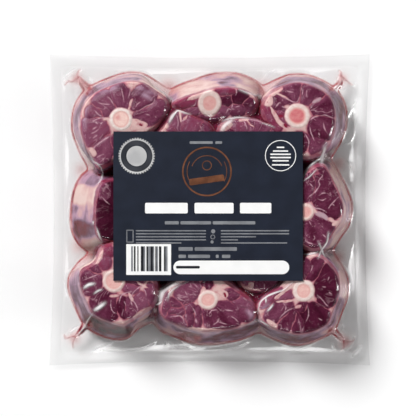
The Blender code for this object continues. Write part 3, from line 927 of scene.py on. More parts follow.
LEG_SLICES = (
    LegSlice("slice_top_left", 11, (-120, 78, -118, 95, -107, 108, -83, 118, -66, 119, -53, 111, -41, 101,
        -40, 90, -52, 76, -72, 59, -99, 40, -107, 47, -115, 60), ((-97.6, 98, 9.5, 11, 0.6),
        (-83.5, 104.5, 9.5, 10.5, 0.53), (-62, 104, 12.5, 9, 0.52, 40), (-53, 90, 16, 9, 0.53, 20),
        (-106, 90, 8, 7, 0.6), (-107.5, 73, 12.5, 14, 0.66), (-99, 55.6, 9.5, 13, 0.58, -10),
        (-84, 62, 8, 7, 0.52, 40)), fats=((-67, 80.5, 9, 4, 0.8, -14), (-110, 53.5, 5.5, 3.2, 0.95, -40),
        (-74, 96, 1.6, 7, 0.3, -20), (-95, 84, 4, 2, 0.4)), bits=((-64, 79.5, 1.9, 1.3, 0.95, -20),),
        veins_and_glints=((-110.1, 80.4, -105.9, 83.3, -100.1, 85.4, -96, 84.2), (-108.4, 74.6, -104.3, 77.1),
        (-110.1, 70.5, -105.5, 72.6, -102.2, 75.5), (-108, 66.5, -103.5, 69.5),
        (-106.3, 81.8, -103.5, 79.3), (-101.5, 79.5, -98.5, 81.5),
        (-103.4, 99.5, -100.1, 98.3, -92.7, 97.7), (-82.3, 114.4, -80.7, 107.8, -79.4, 100.3),
        (-73.2, 113.6, -74, 107.8, -75.7, 103.6), (-65.3, 92, -59.5, 95.8, -52.9, 98.7, -50.4, 103.6),
        (-94.7, 105.3, -91, 101.2, -88.5, 96.2), (-106.8, 92.9, -103.4, 88.7, -99.3, 86.2),
        (-59.5, 88.7, -55.4, 87.7), (-104.3, 49, -97.6, 51.9), (-101, 44.5, -96.5, 49),
        (-108.4, 56.8, -99.3, 63.9, -91, 68.8), (-63.7, 100.3, -67, 97.8, -68.2, 95.4)),
        skins_and_sheens=((-66, 108, -60, 106.5, -55, 103), (-107.6, 103.2, -101, 107.8, -91, 112.1, -81.1, 115.4,
        -72.8, 115.7, -64.5, 113.2, -57.9, 109.3, -51.7, 109),
        (-112.4, 98.3, -115.5, 92, -116.5, 84.6, -115.5, 75.9)), sides=((-37, 93, 6, 10, 0.1),
        (-83, 122, 30, 7, 0.55, 5), (-52, 114, 14, 7, 0.98, -35), (-124, 90, 8, 20, 0.48),
        (-110, 42, 10, 7, 0.25, -30)), bone=Bone(-82, 84, 10.4, 10.4, 7.5, 0.85, 0, (-85, 85.6, 2.4)),
        side_tone=0.5, rim_width=1.1),
    LegSlice("slice_top_middle", 23, (-33, 98, -24, 104, -12, 108, 6, 113, 25, 113, 40, 107, 44, 99, 38, 88,
        26, 83, 0, 82, -20, 87), ((-20, 99, 11, 5, 0.75), (-14, 92.5, 9, 4, 0.6),
        (15, 109.5, 9.5, 3.2, 0.75), (16, 100, 5.2, 6.2, 0.4), (27.5, 103.5, 7.5, 6.5, 0.36),
        (26, 93, 9, 4.5, 0.5), (12, 90.7, 5, 4.5, 0.62), (36, 96, 6, 6, 0.45), (0, 85.5, 10, 2.5, 0.5)),
        fats=((-12, 104.5, 9, 2.2, 0.9, 18), (3, 88, 3, 2, 0.5)),
        veins_and_glints=((-17.5, 95.9, -13.8, 97.1, -12.1, 101.7), (20.2, 92.5, 17.7, 93.8, 15.2, 89.2),
        (21.4, 98.3, 20.6, 94.2), (24.3, 112.4, 25.1, 109.1, 24.3, 106.6), (28.5, 96.7, 24.3, 95.4),
        (-4.7, 87.6, -1.4, 86.9)), sides=((-12, 114, 18, 8, 0.95, 12), (21, 119, 10, 8, 0.42),
        (35, 114, 9, 7, 0.9, -20), (46, 100, 5, 9, 0.05), (-34, 100, 5, 6, 0.5)),
        bone=Bone(0, 99, 10.4, 11.4, 6.8, 0.5, 0.2), side_tone=0.6, rim_width=0.9, rise=-1.5,
        fall=(0, 0.22), lean=(0, 6)),
    LegSlice("slice_top_right", 37, (54, 105, 65, 113, 79, 118, 93, 116, 107, 109, 115, 99, 117, 83,
        113, 66, 104, 54, 88, 49, 73, 58, 57, 76, 50, 93), ((65.6, 101, 12, 8, 0.5, -15),
        (76.4, 110, 11, 8.5, 0.5, -20), (93.7, 107, 11, 9, 0.5), (106, 94.5, 11.5, 9, 0.45),
        (104.5, 75.5, 11.5, 12, 0.42), (100.4, 60, 8, 8, 0.5), (57, 83, 6, 13, 0.76, 38),
        (84, 62, 9, 8, 0.45), (68.5, 85, 3, 7, 0.7, 35)), fats=((53, 102, 5.5, 8, 0.95, 15),
        (61, 109, 8, 2.8, 0.8, 30), (63.8, 83.5, 1.9, 14, 0.75, 38), (99.6, 101, 5.5, 1.8, -0.6, 40),
        (72, 96, 3, 2, 0.5), (67, 105.5, 9, 1, 0.6, -28)), bits=((66.5, 86.5, 1.6, 1.2, 0.9),
        (70, 77, 1, 2.4, 0.9, 28)), veins_and_glints=((71.4, 110.3, 74.7, 109.4, 78.8, 109),
        (68.1, 104.5, 73, 102.4, 77.2, 100.2, 81.3, 100.3, 83.4, 104.5), (61, 94.5, 64.8, 99.5, 66.4, 97.7),
        (86.7, 111.1, 85.9, 106.1), (90.4, 111.1, 89.6, 104.5), (92.9, 78, 94.2, 71.3, 97.5, 63.5),
        (93.3, 82.9, 96.7, 85.8, 101.2, 86.7), (105.8, 80.9, 106.6, 75.5, 109.1, 71.3),
        (101.2, 71.3, 102.2, 68.7), (102.9, 87.1, 107.8, 87.7, 115.3, 84.6),
        (91.3, 57.2, 92.1, 63.9, 88.4, 70.5), (67.2, 96.2, 69.7, 94.5)),
        skins_and_sheens=((114.5, 70.5, 111.2, 63.9, 106.2, 57.2),), sides=((88, 122, 24, 6, 0.4),
        (122, 90, 8, 22, 0.32), (52, 112, 8, 9, 0.95)), bone=Bone(81.3, 87, 11.3, 11.3, 8, 0.15, 0.15),
        side_tone=0.42, lean=(3, 0)),
    LegSlice("slice_second_left", 41, (-41, 80, -31, 92, -18, 88, 0, 77, 4, 58, -12, 36, -40, 35, -54, 56),
        ((-33, 82, 7, 8, 0.67), (-17, 79, 10, 9, 0.66, -30), (-4, 66, 9, 12, 0.5), (-30, 60, 14, 12, 0.5),
        (-24, 44, 14, 8, 0.5)), fats=((-27, 87, 1.5, 6, 0.9, 6), (-41, 78, 4, 3, 0.6, 40),
        (-22, 85, 3, 1, 0.9, 35)), veins_and_glints=((-30.4, 87.6, -29.1, 81.8, -29.5, 76), (-22.1, 83.8, -27.1, 81.8),
        (-8.8, 77.6, -7.8, 76)), side_tone=0.35, rim_width=0.8, rise=0.8),
    LegSlice("slice_second_right", 43, (10, 76, 21, 83, 30, 85, 45, 83, 60, 75, 70, 58, 56, 34, 26, 32,
        9, 54), ((30, 77, 9, 5, 0.64), (46, 76, 12, 8, 0.58, -10), (60, 64, 9, 12, 0.5),
        (20, 66, 10, 9, 0.5), (38, 56, 14, 12, 0.5), (40, 40, 15, 7, 0.5)), fats=((16, 77, 7, 3, 0.9, 32),
        (32, 83, 5, 1.6, 0.9), (38, 79, 1, 5, 0.6, 50)), veins_and_glints=((29.3, 85.1, 32.6, 80.9, 35.1, 74.3),
        (32.6, 84.7, 44.2, 82.6, 55, 78.5, 62.4, 73.5)), side_tone=0.35, rim_width=0.9, rise=0.8),
    LegSlice("slice_left_middle", 53, (-99, 25, -104, 14, -106, -3, -105, -18, -98, -28, -78, -28, -60, -16,
        -58, 6, -68, 22, -84, 27), ((-91, 2, 20, 29, 0.29), (-70, 4, 10, 18, 0.22)),
        bits=((-98.5, 17, 6, 9, 0.52),), veins_and_glints=((-100.1, 12.3, -96.4, 8, -92.5, 4.7),),
        sides=((-117, 14, 14, 10.5, 0.97), (-118, -5.5, 13, 8, 0.6), (-114, -20, 14, 7, 0.33),
        (-123, -18, 5, 7, 0.17), (-109, -36, 13, 7, 0.9), (-113, 29, 12, 5, 0.55)), side_tone=0.5,
        rim_width=0.3, rise=-5, fall=(-0.26, 0), lean=(-16, 0)),
    LegSlice("slice_right_middle", 61, (105, 41, 115, 27, 124, 6, 123, -9, 116, -20, 106, -34, 90, -35,
        70, -16, 72, 12, 88, 33), ((109, 16, 13.5, 24, 0.42, 15), (93, 21, 9, 12, 0.45, -25),
        (101, 33, 5, 4.5, 0.75, 30), (99.6, -21, 15, 14, 0.45), (80, 0, 8, 20, 0.4)),
        fats=((104, -5.6, 7.5, 3, -0.65, -30), (96, -0.5, 4, 1.5, 0.8, -30),
        (112.5, -9.6, 3.5, 2.2, 0.7, -30), (116.5, -13, 4.5, 2.6, 0.9, 30)), veins_and_glints=((105.6, 36.8,
        104.7, 31.4, 101.3, 27, 102, 22.6, 98.5, 17.2, 92.2, 11.9, 90.5, 9.2),
        (90.5, 9.2, 94, 4.8, 97.6, 1.7, 103.8, 0.4, 108.2, -2.3), (110.9, 14.6, 105.6, 15.5, 101.5, 13),
        (108.2, 10.6, 104.5, 8.8, 100.4, 10.1), (119.8, 11.9, 116.2, 8.4, 112.7, 4.8, 110.4, 1.3),
        (117.1, 15.5, 119.3, 17.1), (93.1, 24.3, 96, 21), (92.2, -10.3, 94.2, -14),
        (104.7, -22.7, 108.2, -25.8), (96.2, -23.2, 97.7, -26.3, 95.8, -28.5),
        (88.7, -28.1, 92.2, -30.7, 98.9, -32.7), (113.5, 5.7, 116.2, 3.5)),
        skins_and_sheens=((117.1, -14.7, 118, -19.2, 113.5, -24.5),), sides=((124, 30, 8, 14, 0.92, 30),
        (130, 5, 8, 14, 0.7), (124, -22, 8, 12, 0.85, -30)), bone=Bone(89, -2, 7.8, 7.8, 5.2, 0.5, 0.3),
        side_tone=0.5, rim_width=1.2, rise=0.4),
    LegSlice("slice_centre_left", 67, (-50, -22, -44, 4, -34, 20, -6, 24, 8, 12, 10, -14, 2, -38, -24, -46,
        -46, -40), ((-30, -8, 16, 18, 0.45), (-6, -4, 12, 18, 0.5), (-20, -34, 20, 9, 0.4)), side_tone=0.3,
        rise=1.2, hidden=True),
    LegSlice("slice_centre_right", 71, (22, -12, 18, 12, 30, 22, 54, 24, 62, 10, 62, -14, 52, -34, 34, -36),
        ((34, 6, 13, 14, 0.45), (52, 2, 9, 18, 0.5), (42, -24, 14, 9, 0.42)), side_tone=0.3, rise=1.2,
        hidden=True),
    LegSlice("slice_low_between", 73, (28, -66, 33, -74, 49, -77, 62, -71, 66, -56, 50, -40, 32, -48),
        ((52, -70, 11, 7, 0.5, 10), (50, -54, 13, 9, 0.45), (35, -62, 5, 6, 0.5)),
        fats=((38.5, -70.5, 3.2, 4, 0.9), (44, -74.5, 5, 1, 0.6)), veins_and_glints=((38.9, -68.1, 39.8, -71.8),
        (51.2, -69, 50.7, -73.7)), side_tone=0.2, rim_width=0.8, rise=-5),
    LegSlice("slice_bottom_left", 83, (-120, -69, -119, -58, -107, -50, -99, -36, -80, -32, -62, -48,
        -50, -72, -54, -89, -75, -103, -83, -107, -105, -99, -114, -85), ((-108, -54.6, 6, 6, 0.5),
        (-110.8, -67.4, 10, 11.5, 0.5), (-98.8, -48.8, 5.8, 5.8, 0.7), (-93, -39, 3.3, 3.3, 0.7),
        (-96, -89, 13.5, 14, 0.42), (-82.5, -89, 6, 8, 0.38), (-73.6, -90, 5.5, 8, 0.55),
        (-63, -85.4, 6, 8.5, 0.6), (-72.8, -73, 6, 3.7, 0.64), (-54, -78, 4, 8, 0.6),
        (-68, -60, 9, 9, 0.5)), fats=((-62, -97.5, 15, 4.2, 0.95, 33), (-104, -43, 4.5, 9, 0.9, -35),
        (-88, -79, 5, 1.8, 0.4), (-62, -69.5, 7, 1.3, 0.5, -30), (-73, -81.1, 1.6, 4.6, 0.8, 25)),
        bits=((-79, -98, 4, 3, 0.4, 20),),
        veins_and_glints=((-118.2, -65.9, -112.9, -63.7, -106.7, -61.4, -102.7, -59.2),
        (-91.4, -83.6, -91.6, -89, -89.8, -94.3, -86.1, -96.3),
        (-74.3, -81, -69.4, -86.3, -66.7, -92.5, -67.6, -96.1), (-63.2, -71.2, -59.6, -75.7, -58.6, -81),
        (-104.5, -47.2, -99.1, -45.3), (-79.2, -84.5, -77.4, -89), (-115.6, -75.7, -111.1, -76.5),
        (-60, -66, -64, -71, -70, -76, -73, -83, -71, -91), (-70, -76, -77, -77, -82, -80, -84, -87)),
        sides=((-118, -47, 12, 14, 0.95, -30), (-62, -108, 14, 7, 0.78, 30), (-92, -111, 25, 10, 0.1, -18),
        (-125, -72, 7, 20, 0.42)), bone=Bone(-88.6, -66, 10.1, 10.1, 7.4, 0.6, 0.2), side_tone=0.36,
        lean=(-3, -7)),
    LegSlice("slice_bottom_middle", 89, (-45, -88, -42, -101, -26, -108, -8, -113, 11, -112, 28, -109,
        40, -103, 43, -94, 36, -84, 21, -72, 0, -58, -20, -56, -35, -68), ((-20.2, -77, 11.8, 8, 0.55, 45),
        (-31.3, -87.3, 6, 4.4, 0.5, -20), (-30.4, -94.4, 10, 3.8, 0.55, 5), (-30.4, -103, 9, 5, 0.55, -25),
        (-41, -88, 4.5, 9, 0.6), (-18.4, -98.4, 5, 10, 0.5, 5), (-10.9, -100.6, 4, 8.5, 0.5),
        (11.4, -99.6, 17, 12, 0.48, 5), (-2.8, -69.4, 4, 3, 0.4), (30.4, -88, 9, 5, 0.6, -25),
        (34, -97, 8, 6, 0.5, -10), (22, -80, 7, 4, 0.5, -40)), fats=((12, -78, 5.5, 4, 0.9, -35),
        (-2, -112.2, 26, 2.3, 0.95, -2), (-6, -76, 3, 4, 0.6), (8, -72, 2, 6, 0.5, 30),
        (-8, -88, 3, 2, 0.4)), bits=((14, -79.5, 1.1, 2.4, 0.95, 15),),
        veins_and_glints=((3.4, -107.1, 7.7, -103.6, 8.8, -101), (7.7, -103.6, 11.4, -105, 16.6, -106.4),
        (13.8, -92.7, 21.4, -93.8), (19.5, -98.4, 23.8, -101.2, 27.1, -104.5),
        (-30.7, -79.4, -27.9, -82.5, -24.1, -84.2), (-35.9, -99.3, -31.6, -98.8, -27.4, -98.4,
        -24.5, -101.2, -23.1, -106.4), (-17.4, -88.4, -14.1, -93.6, -12.7, -97.9),
        (-12.7, -100.7, -12, -105.2), (0.1, -96.5, 2, -93.6, 6.7, -92.7), (-22.6, -75.6, -20.8, -79.4)),
        skins_and_sheens=((35.1, -93.6, 38.9, -98.4, 38, -104),), sides=((0, -120, 40, 6, 0.34),
        (30, -114, 16, 6, 0.3, 10)), bone=Bone(-1.4, -83.5, 8.8, 8.8, 5.9, 0.6, 0.15), side_tone=0.5,
        lean=(0, -4.5)),
    LegSlice("slice_bottom_right", 97, (102, -43, 118, -59, 121, -76, 114, -96, 107, -108, 83, -116,
        55, -108, 46, -96, 48, -86, 64, -72, 76, -54, 90, -43), ((98, -55, 5.5, 10.5, 0.42, -28),
        (110, -70.3, 10.7, 19.5, 0.32, -5), (96.7, -100.6, 13, 12, 0.32), (87.4, -91.7, 3.6, 4.5, 0.4),
        (83.8, -106.4, 6, 9.3, 0.4, -10), (72.7, -102, 5.8, 12, 0.45, -31), (64.2, -94.4, 14, 7.5, 0.5, 29),
        (72, -80, 5.5, 2.6, 0.66, 20), (86, -54, 7, 8, 0.45), (57, -82, 12.5, 3, 0.72, 43)),
        fats=((69, -76.7, 11, 2, 0.85, 40), (58, -105.5, 6, 2.5, 0.9, -35), (70, -85.3, 8, 1.2, 0.8, 8),
        (83, -90, 3, 1.6, 0.6, 20), (98, -84, 2, 2, 0.3)),
        veins_and_glints=((100, -79.2, 104.7, -83.6, 108.2, -88.1, 111.8, -90.9),
        (90.6, -89, 91.9, -94.3, 91.3, -99.6, 88.7, -105),
        (64.7, -101.4, 67.4, -97.9, 72.7, -93.4, 79.1, -90.9), (110.9, -62.3, 109.6, -65.9),
        (85.1, -113.1, 87.1, -109.4), (101.1, -100.5, 104, -102.5), (68.3, -86.3, 70.9, -89.9, 70, -94.3),
        (104.7, -71.2, 108.2, -72.1), (110.9, -76.5, 113.5, -78.3), (95.8, -52.6, 93.6, -57.9)),
        skins_and_sheens=((47.4, -98.7, 49.6, -92.5, 54.9, -88.1), (120.7, -80.1, 118.9, -88.1, 113.5, -97)),
        sides=((126, -68, 7, 18, 0.8), (124, -92, 7, 8, 0.2), (85, -121, 30, 7, 0.3)),
        bone=Bone(87.4, -75, 10, 10, 6.4, 0.65, 0.1), side_tone=0.5, lean=(0, -2)),
)


@dataclass(frozen=True)
class CardLabel:
    """The CAD card with its finish and its print: plain fields, bars and rings, no words.

    Rows of bars give the lower and upper edge, the corner radius, then the left and right edge of
    each bar in turn.
    """
    centre: tuple = (-1.3, 3.3)
    half: tuple = (87.8, 69.2)
    top: float = 44.6
    crown: tuple = (0.9, 0.7)
    ink: float = 0.1
    ink_over: float = 0.18
    scallop: float = 0.045
    column: float = 5.0
    band: float = 4.0
    stamp: tuple = (65.8, 50.1)
    stamp_ring: tuple = (14.4, 13.7)
    seal: tuple = (-67.5, 49.7)
    seal_rings: tuple = ((17.2, 14.6, 42), (9.4, 0.01))
    seal_smoke: tuple = (14.2, 10.2)
    emblem: tuple = (-2.4, 35.4)
    emblem_arcs: tuple = ((23.0, 21.6), (15.0, 14.3, 0, 20, 160), (18.7, 18.0, 0, 150, 210),
                          (18.7, 18.0, 0, -30, 30))
    emblem_bar: tuple = (-19.0, 13.8, 24.6, 30.6, 1.5, 8.0)
    emblem_loop: tuple = (-2.4, 41.0, 4.6, 3.8)
    white_bars: tuple = (
        (-3.4, 6.4, 1.2, -59.7, -20.2, -13.9, 22.3, 28.2, 57.2), (-59.7, -47.1, 6.3, -33.5, 73.9),
        (-60.4, -31.8, 0.6, -77.1, -35.6))
    stamp_lines: tuple = ((3.5, 7.0), (7.0, 3.6), (9.5, 0.6), (9.5, -2.4), (7.5, -5.4), (8.0, -9.2))
    stamp_line: float = 1.3
    corner: float = 0.3
    grey_bars: tuple = (
        (-13.6, -10.6, 0.8, -41.4, -28.4, -26.9, 1.4, 3.0, 42.4), (61.0, 63.4, 0.8, -18.4, 3.0, 5.4, 11.7),
        (-38.0, -34.6, 0.8, -28.7, -15.5, -13.7, 25.4),
        (-44.7, -41.6, 0.8, -28.7, -21.8, -19.9, 0.5, 5.8, 8.5, 11.5, 19.3),
        (-20.0, -18.9, 0.3, -68.2, -3.3, 10.5, 73.7), (-22.8, -21.7, 0.3, -68.2, -3.3, 10.5, 73.7),
        (-25.6, -24.5, 0.3, -68.2, -3.3, 10.5, 43.0), (-28.4, -27.3, 0.3, -68.2, -3.3, 10.5, 26.4),
        (-31.3, -30.2, 0.3, -68.2, -26.1, 10.5, 71.9), (-19.4, -18.5, 0.3, -77.0, -70.3),
        (-30.4, -29.5, 0.3, -77.0, -70.3), (-30.4, -18.5, 0.3, -77.0, -76.1, -71.2, -70.3))
    grey_dots: tuple = ((3.4, -20.0, 1.9, 0.01), (3.0, -25.2, 2.2, 1.5), (2.4, -29.8, 1.5, 0.01))
    black_stripes: tuple = (
        (-57.0, -33.9, 0.1, -70.0, -68.5, -66.8, -65.8, -63.6, -61.0, -58.4, -56.9, -54.6, -52.4, -50.2,
         -49.2, -46.8, -44.6, -42.2, -40.7), (-54.4, -52.0, 1.0, -31.0, -9.0))
    grey_stripes: tuple = (
        (-57.0, -33.9, 0.1, -72.6, -71.0, -61.0, -59.6, -56.9, -54.6, -52.4, -51.2, -49.2, -47.8, -40.7,
         -38.9),)

    def face(self, x: Array, y: Array) -> Array:
        """Height of the card's crowned face."""
        across, along = (x - self.centre[0]) / self.half[0], (y - self.centre[1]) / self.half[1]
        return self.top - self.crown[0] * across ** 2 - self.crown[1] * along ** 2

    def bar(self, left: float, right: float, low: float, high: float, corner: float,
            turn: float = 0.0) -> Mesh:
        """Rounded bar, made of columns so that it follows the crown.

        Args:
            left: its left edge.
            right: its right edge.
            low: its lower edge.
            high: its upper edge.
            corner: radius of its corners.
            turn: turn about its middle, in degrees.

        Returns:
            Points, count x 2, and faces.
        """
        corner = min(corner, (right - left) / 2.0, (high - low) / 2.0)
        ends = corner * (1.0 - np.cos(np.linspace(0.0, math.pi / 2.0, 7)))
        middle = np.linspace(left + corner, right - corner, max(2, int((right - left) / self.column)) + 1)
        columns = np.unique(np.round(np.concatenate((left + ends, middle, right - ends)), 4))
        cut = np.minimum(columns - left, right - columns).clip(0.0, corner)
        trim = corner - np.sqrt(np.maximum(corner ** 2 - (corner - cut) ** 2, 0.0))
        rows = max(1, int((high - low) / self.column))
        share = np.linspace(0.0, 1.0, rows + 1)
        tall = (high - low - 2.0 * trim)[:, None] * share
        points = np.stack((np.repeat(columns, rows + 1), (low + trim[:, None] + tall).ravel()), axis=1)
        angle, centre = math.radians(turn), points.mean(axis=0)
        spin = np.array(((math.cos(angle), math.sin(angle)), (-math.sin(angle), math.cos(angle))))
        return centre + (points - centre) @ spin, grid_quads((len(columns), rows + 1))

    def bars(self, rows: tuple) -> list[Mesh]:
        """All bars of some rows."""
        return [self.bar(left, right, low, high, corner) for low, high, corner, *ends in rows
                for left, right in zip(ends[::2], ends[1::2])]

    def ring(self, x: float, y: float, outer: float, inner: float, scallops: int = 0,
             start: float = 0.0, end: float = 360.0) -> Mesh:
        """Ring, disc or arc, whose edge may be scalloped.

        Args:
            x: its centre.
            y: its centre.
            outer: outer radius.
            inner: inner radius.
            scallops: how many scallops its edge has.
            start: first angle in degrees.
            end: last angle.

        Returns:
            Points, count x 2, and faces.
        """
        angles = np.radians(np.linspace(start, end, 1 + (6 * scallops or 96)))
        steps = max(1, int((outer - inner) / self.band))
        radii = np.linspace(outer, inner, steps + 1)[:, None] + 0.0 * angles
        radii[0] -= outer * self.scallop * bool(scallops) * (1.0 - np.cos(angles * scallops))
        points = np.stack((x + radii * np.cos(angles), y + radii * np.sin(angles)), axis=-1)
        return points.reshape(-1, 2), grid_quads(radii.shape)

    def lay(self, name: str, shapes: list[Mesh], ink: float, finish: Material) -> None:
        """Makes one print piece of all shapes in one ink, facing up.

        Args:
            name: the piece's name.
            shapes: points and faces of each shape.
            ink: how far the print stands over the card.
            finish: material of the ink.
        """
        flat = np.concatenate([points for points, _ in shapes])
        first = np.cumsum([0] + [len(points) for points, _ in shapes])
        faces = np.concatenate([cells + start for (_, cells), start in zip(shapes, first)])
        p, q, r = (flat[faces[:, k]].T for k in (0, 1, 2))
        down = (q[0] - p[0]) * (r[1] - p[1]) <= (q[1] - p[1]) * (r[0] - p[0])
        faces[down] = faces[down, ::-1]
        make_piece(name, np.column_stack((flat, self.face(*flat.T) + ink)), faces, finish, Slot.CARD)

    def build(self, card: Material) -> None:
        """Dresses the card and lays its print.

        Args:
            card: finish of the card.
        """
        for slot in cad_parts[CadNode.LABEL.value].material_slots:
            slot.material = card
        x, y = self.stamp
        lines = [self.bar(x - half, x + half, y + low, y + low + self.stamp_line, self.corner)
                 for half, low in self.stamp_lines] + [self.ring(x, y, *self.stamp_ring)]
        arcs = [self.ring(*self.emblem, *row) for row in self.emblem_arcs]
        arcs += [self.bar(*self.emblem_bar), self.ring(*self.emblem_loop)]
        dots = [self.ring(*row) for row in self.grey_dots]
        seal = [self.ring(*self.seal, *row) for row in self.seal_rings]
        inks = {ink: ink.value.make() for ink in Ink}
        for name, shapes, ink, height in (
                ("print_white", self.bars(self.white_bars) + lines, Ink.WHITE, self.ink),
                ("print_grey", self.bars(self.grey_bars) + dots, Ink.GREY, self.ink),
                ("print_smoke_ring", [self.ring(*self.seal, *self.seal_smoke)], Ink.SMOKE, self.ink),
                ("print_silver_seal", seal, Ink.SILVER, self.ink),
                ("print_copper_emblem", arcs, Ink.COPPER, self.ink),
                ("print_black", self.bars(self.black_stripes), Ink.BLACK, self.ink_over),
                ("print_grey_bars", self.bars(self.grey_stripes), Ink.GREY, self.ink_over)):
            self.lay(name, shapes, height, inks[ink])


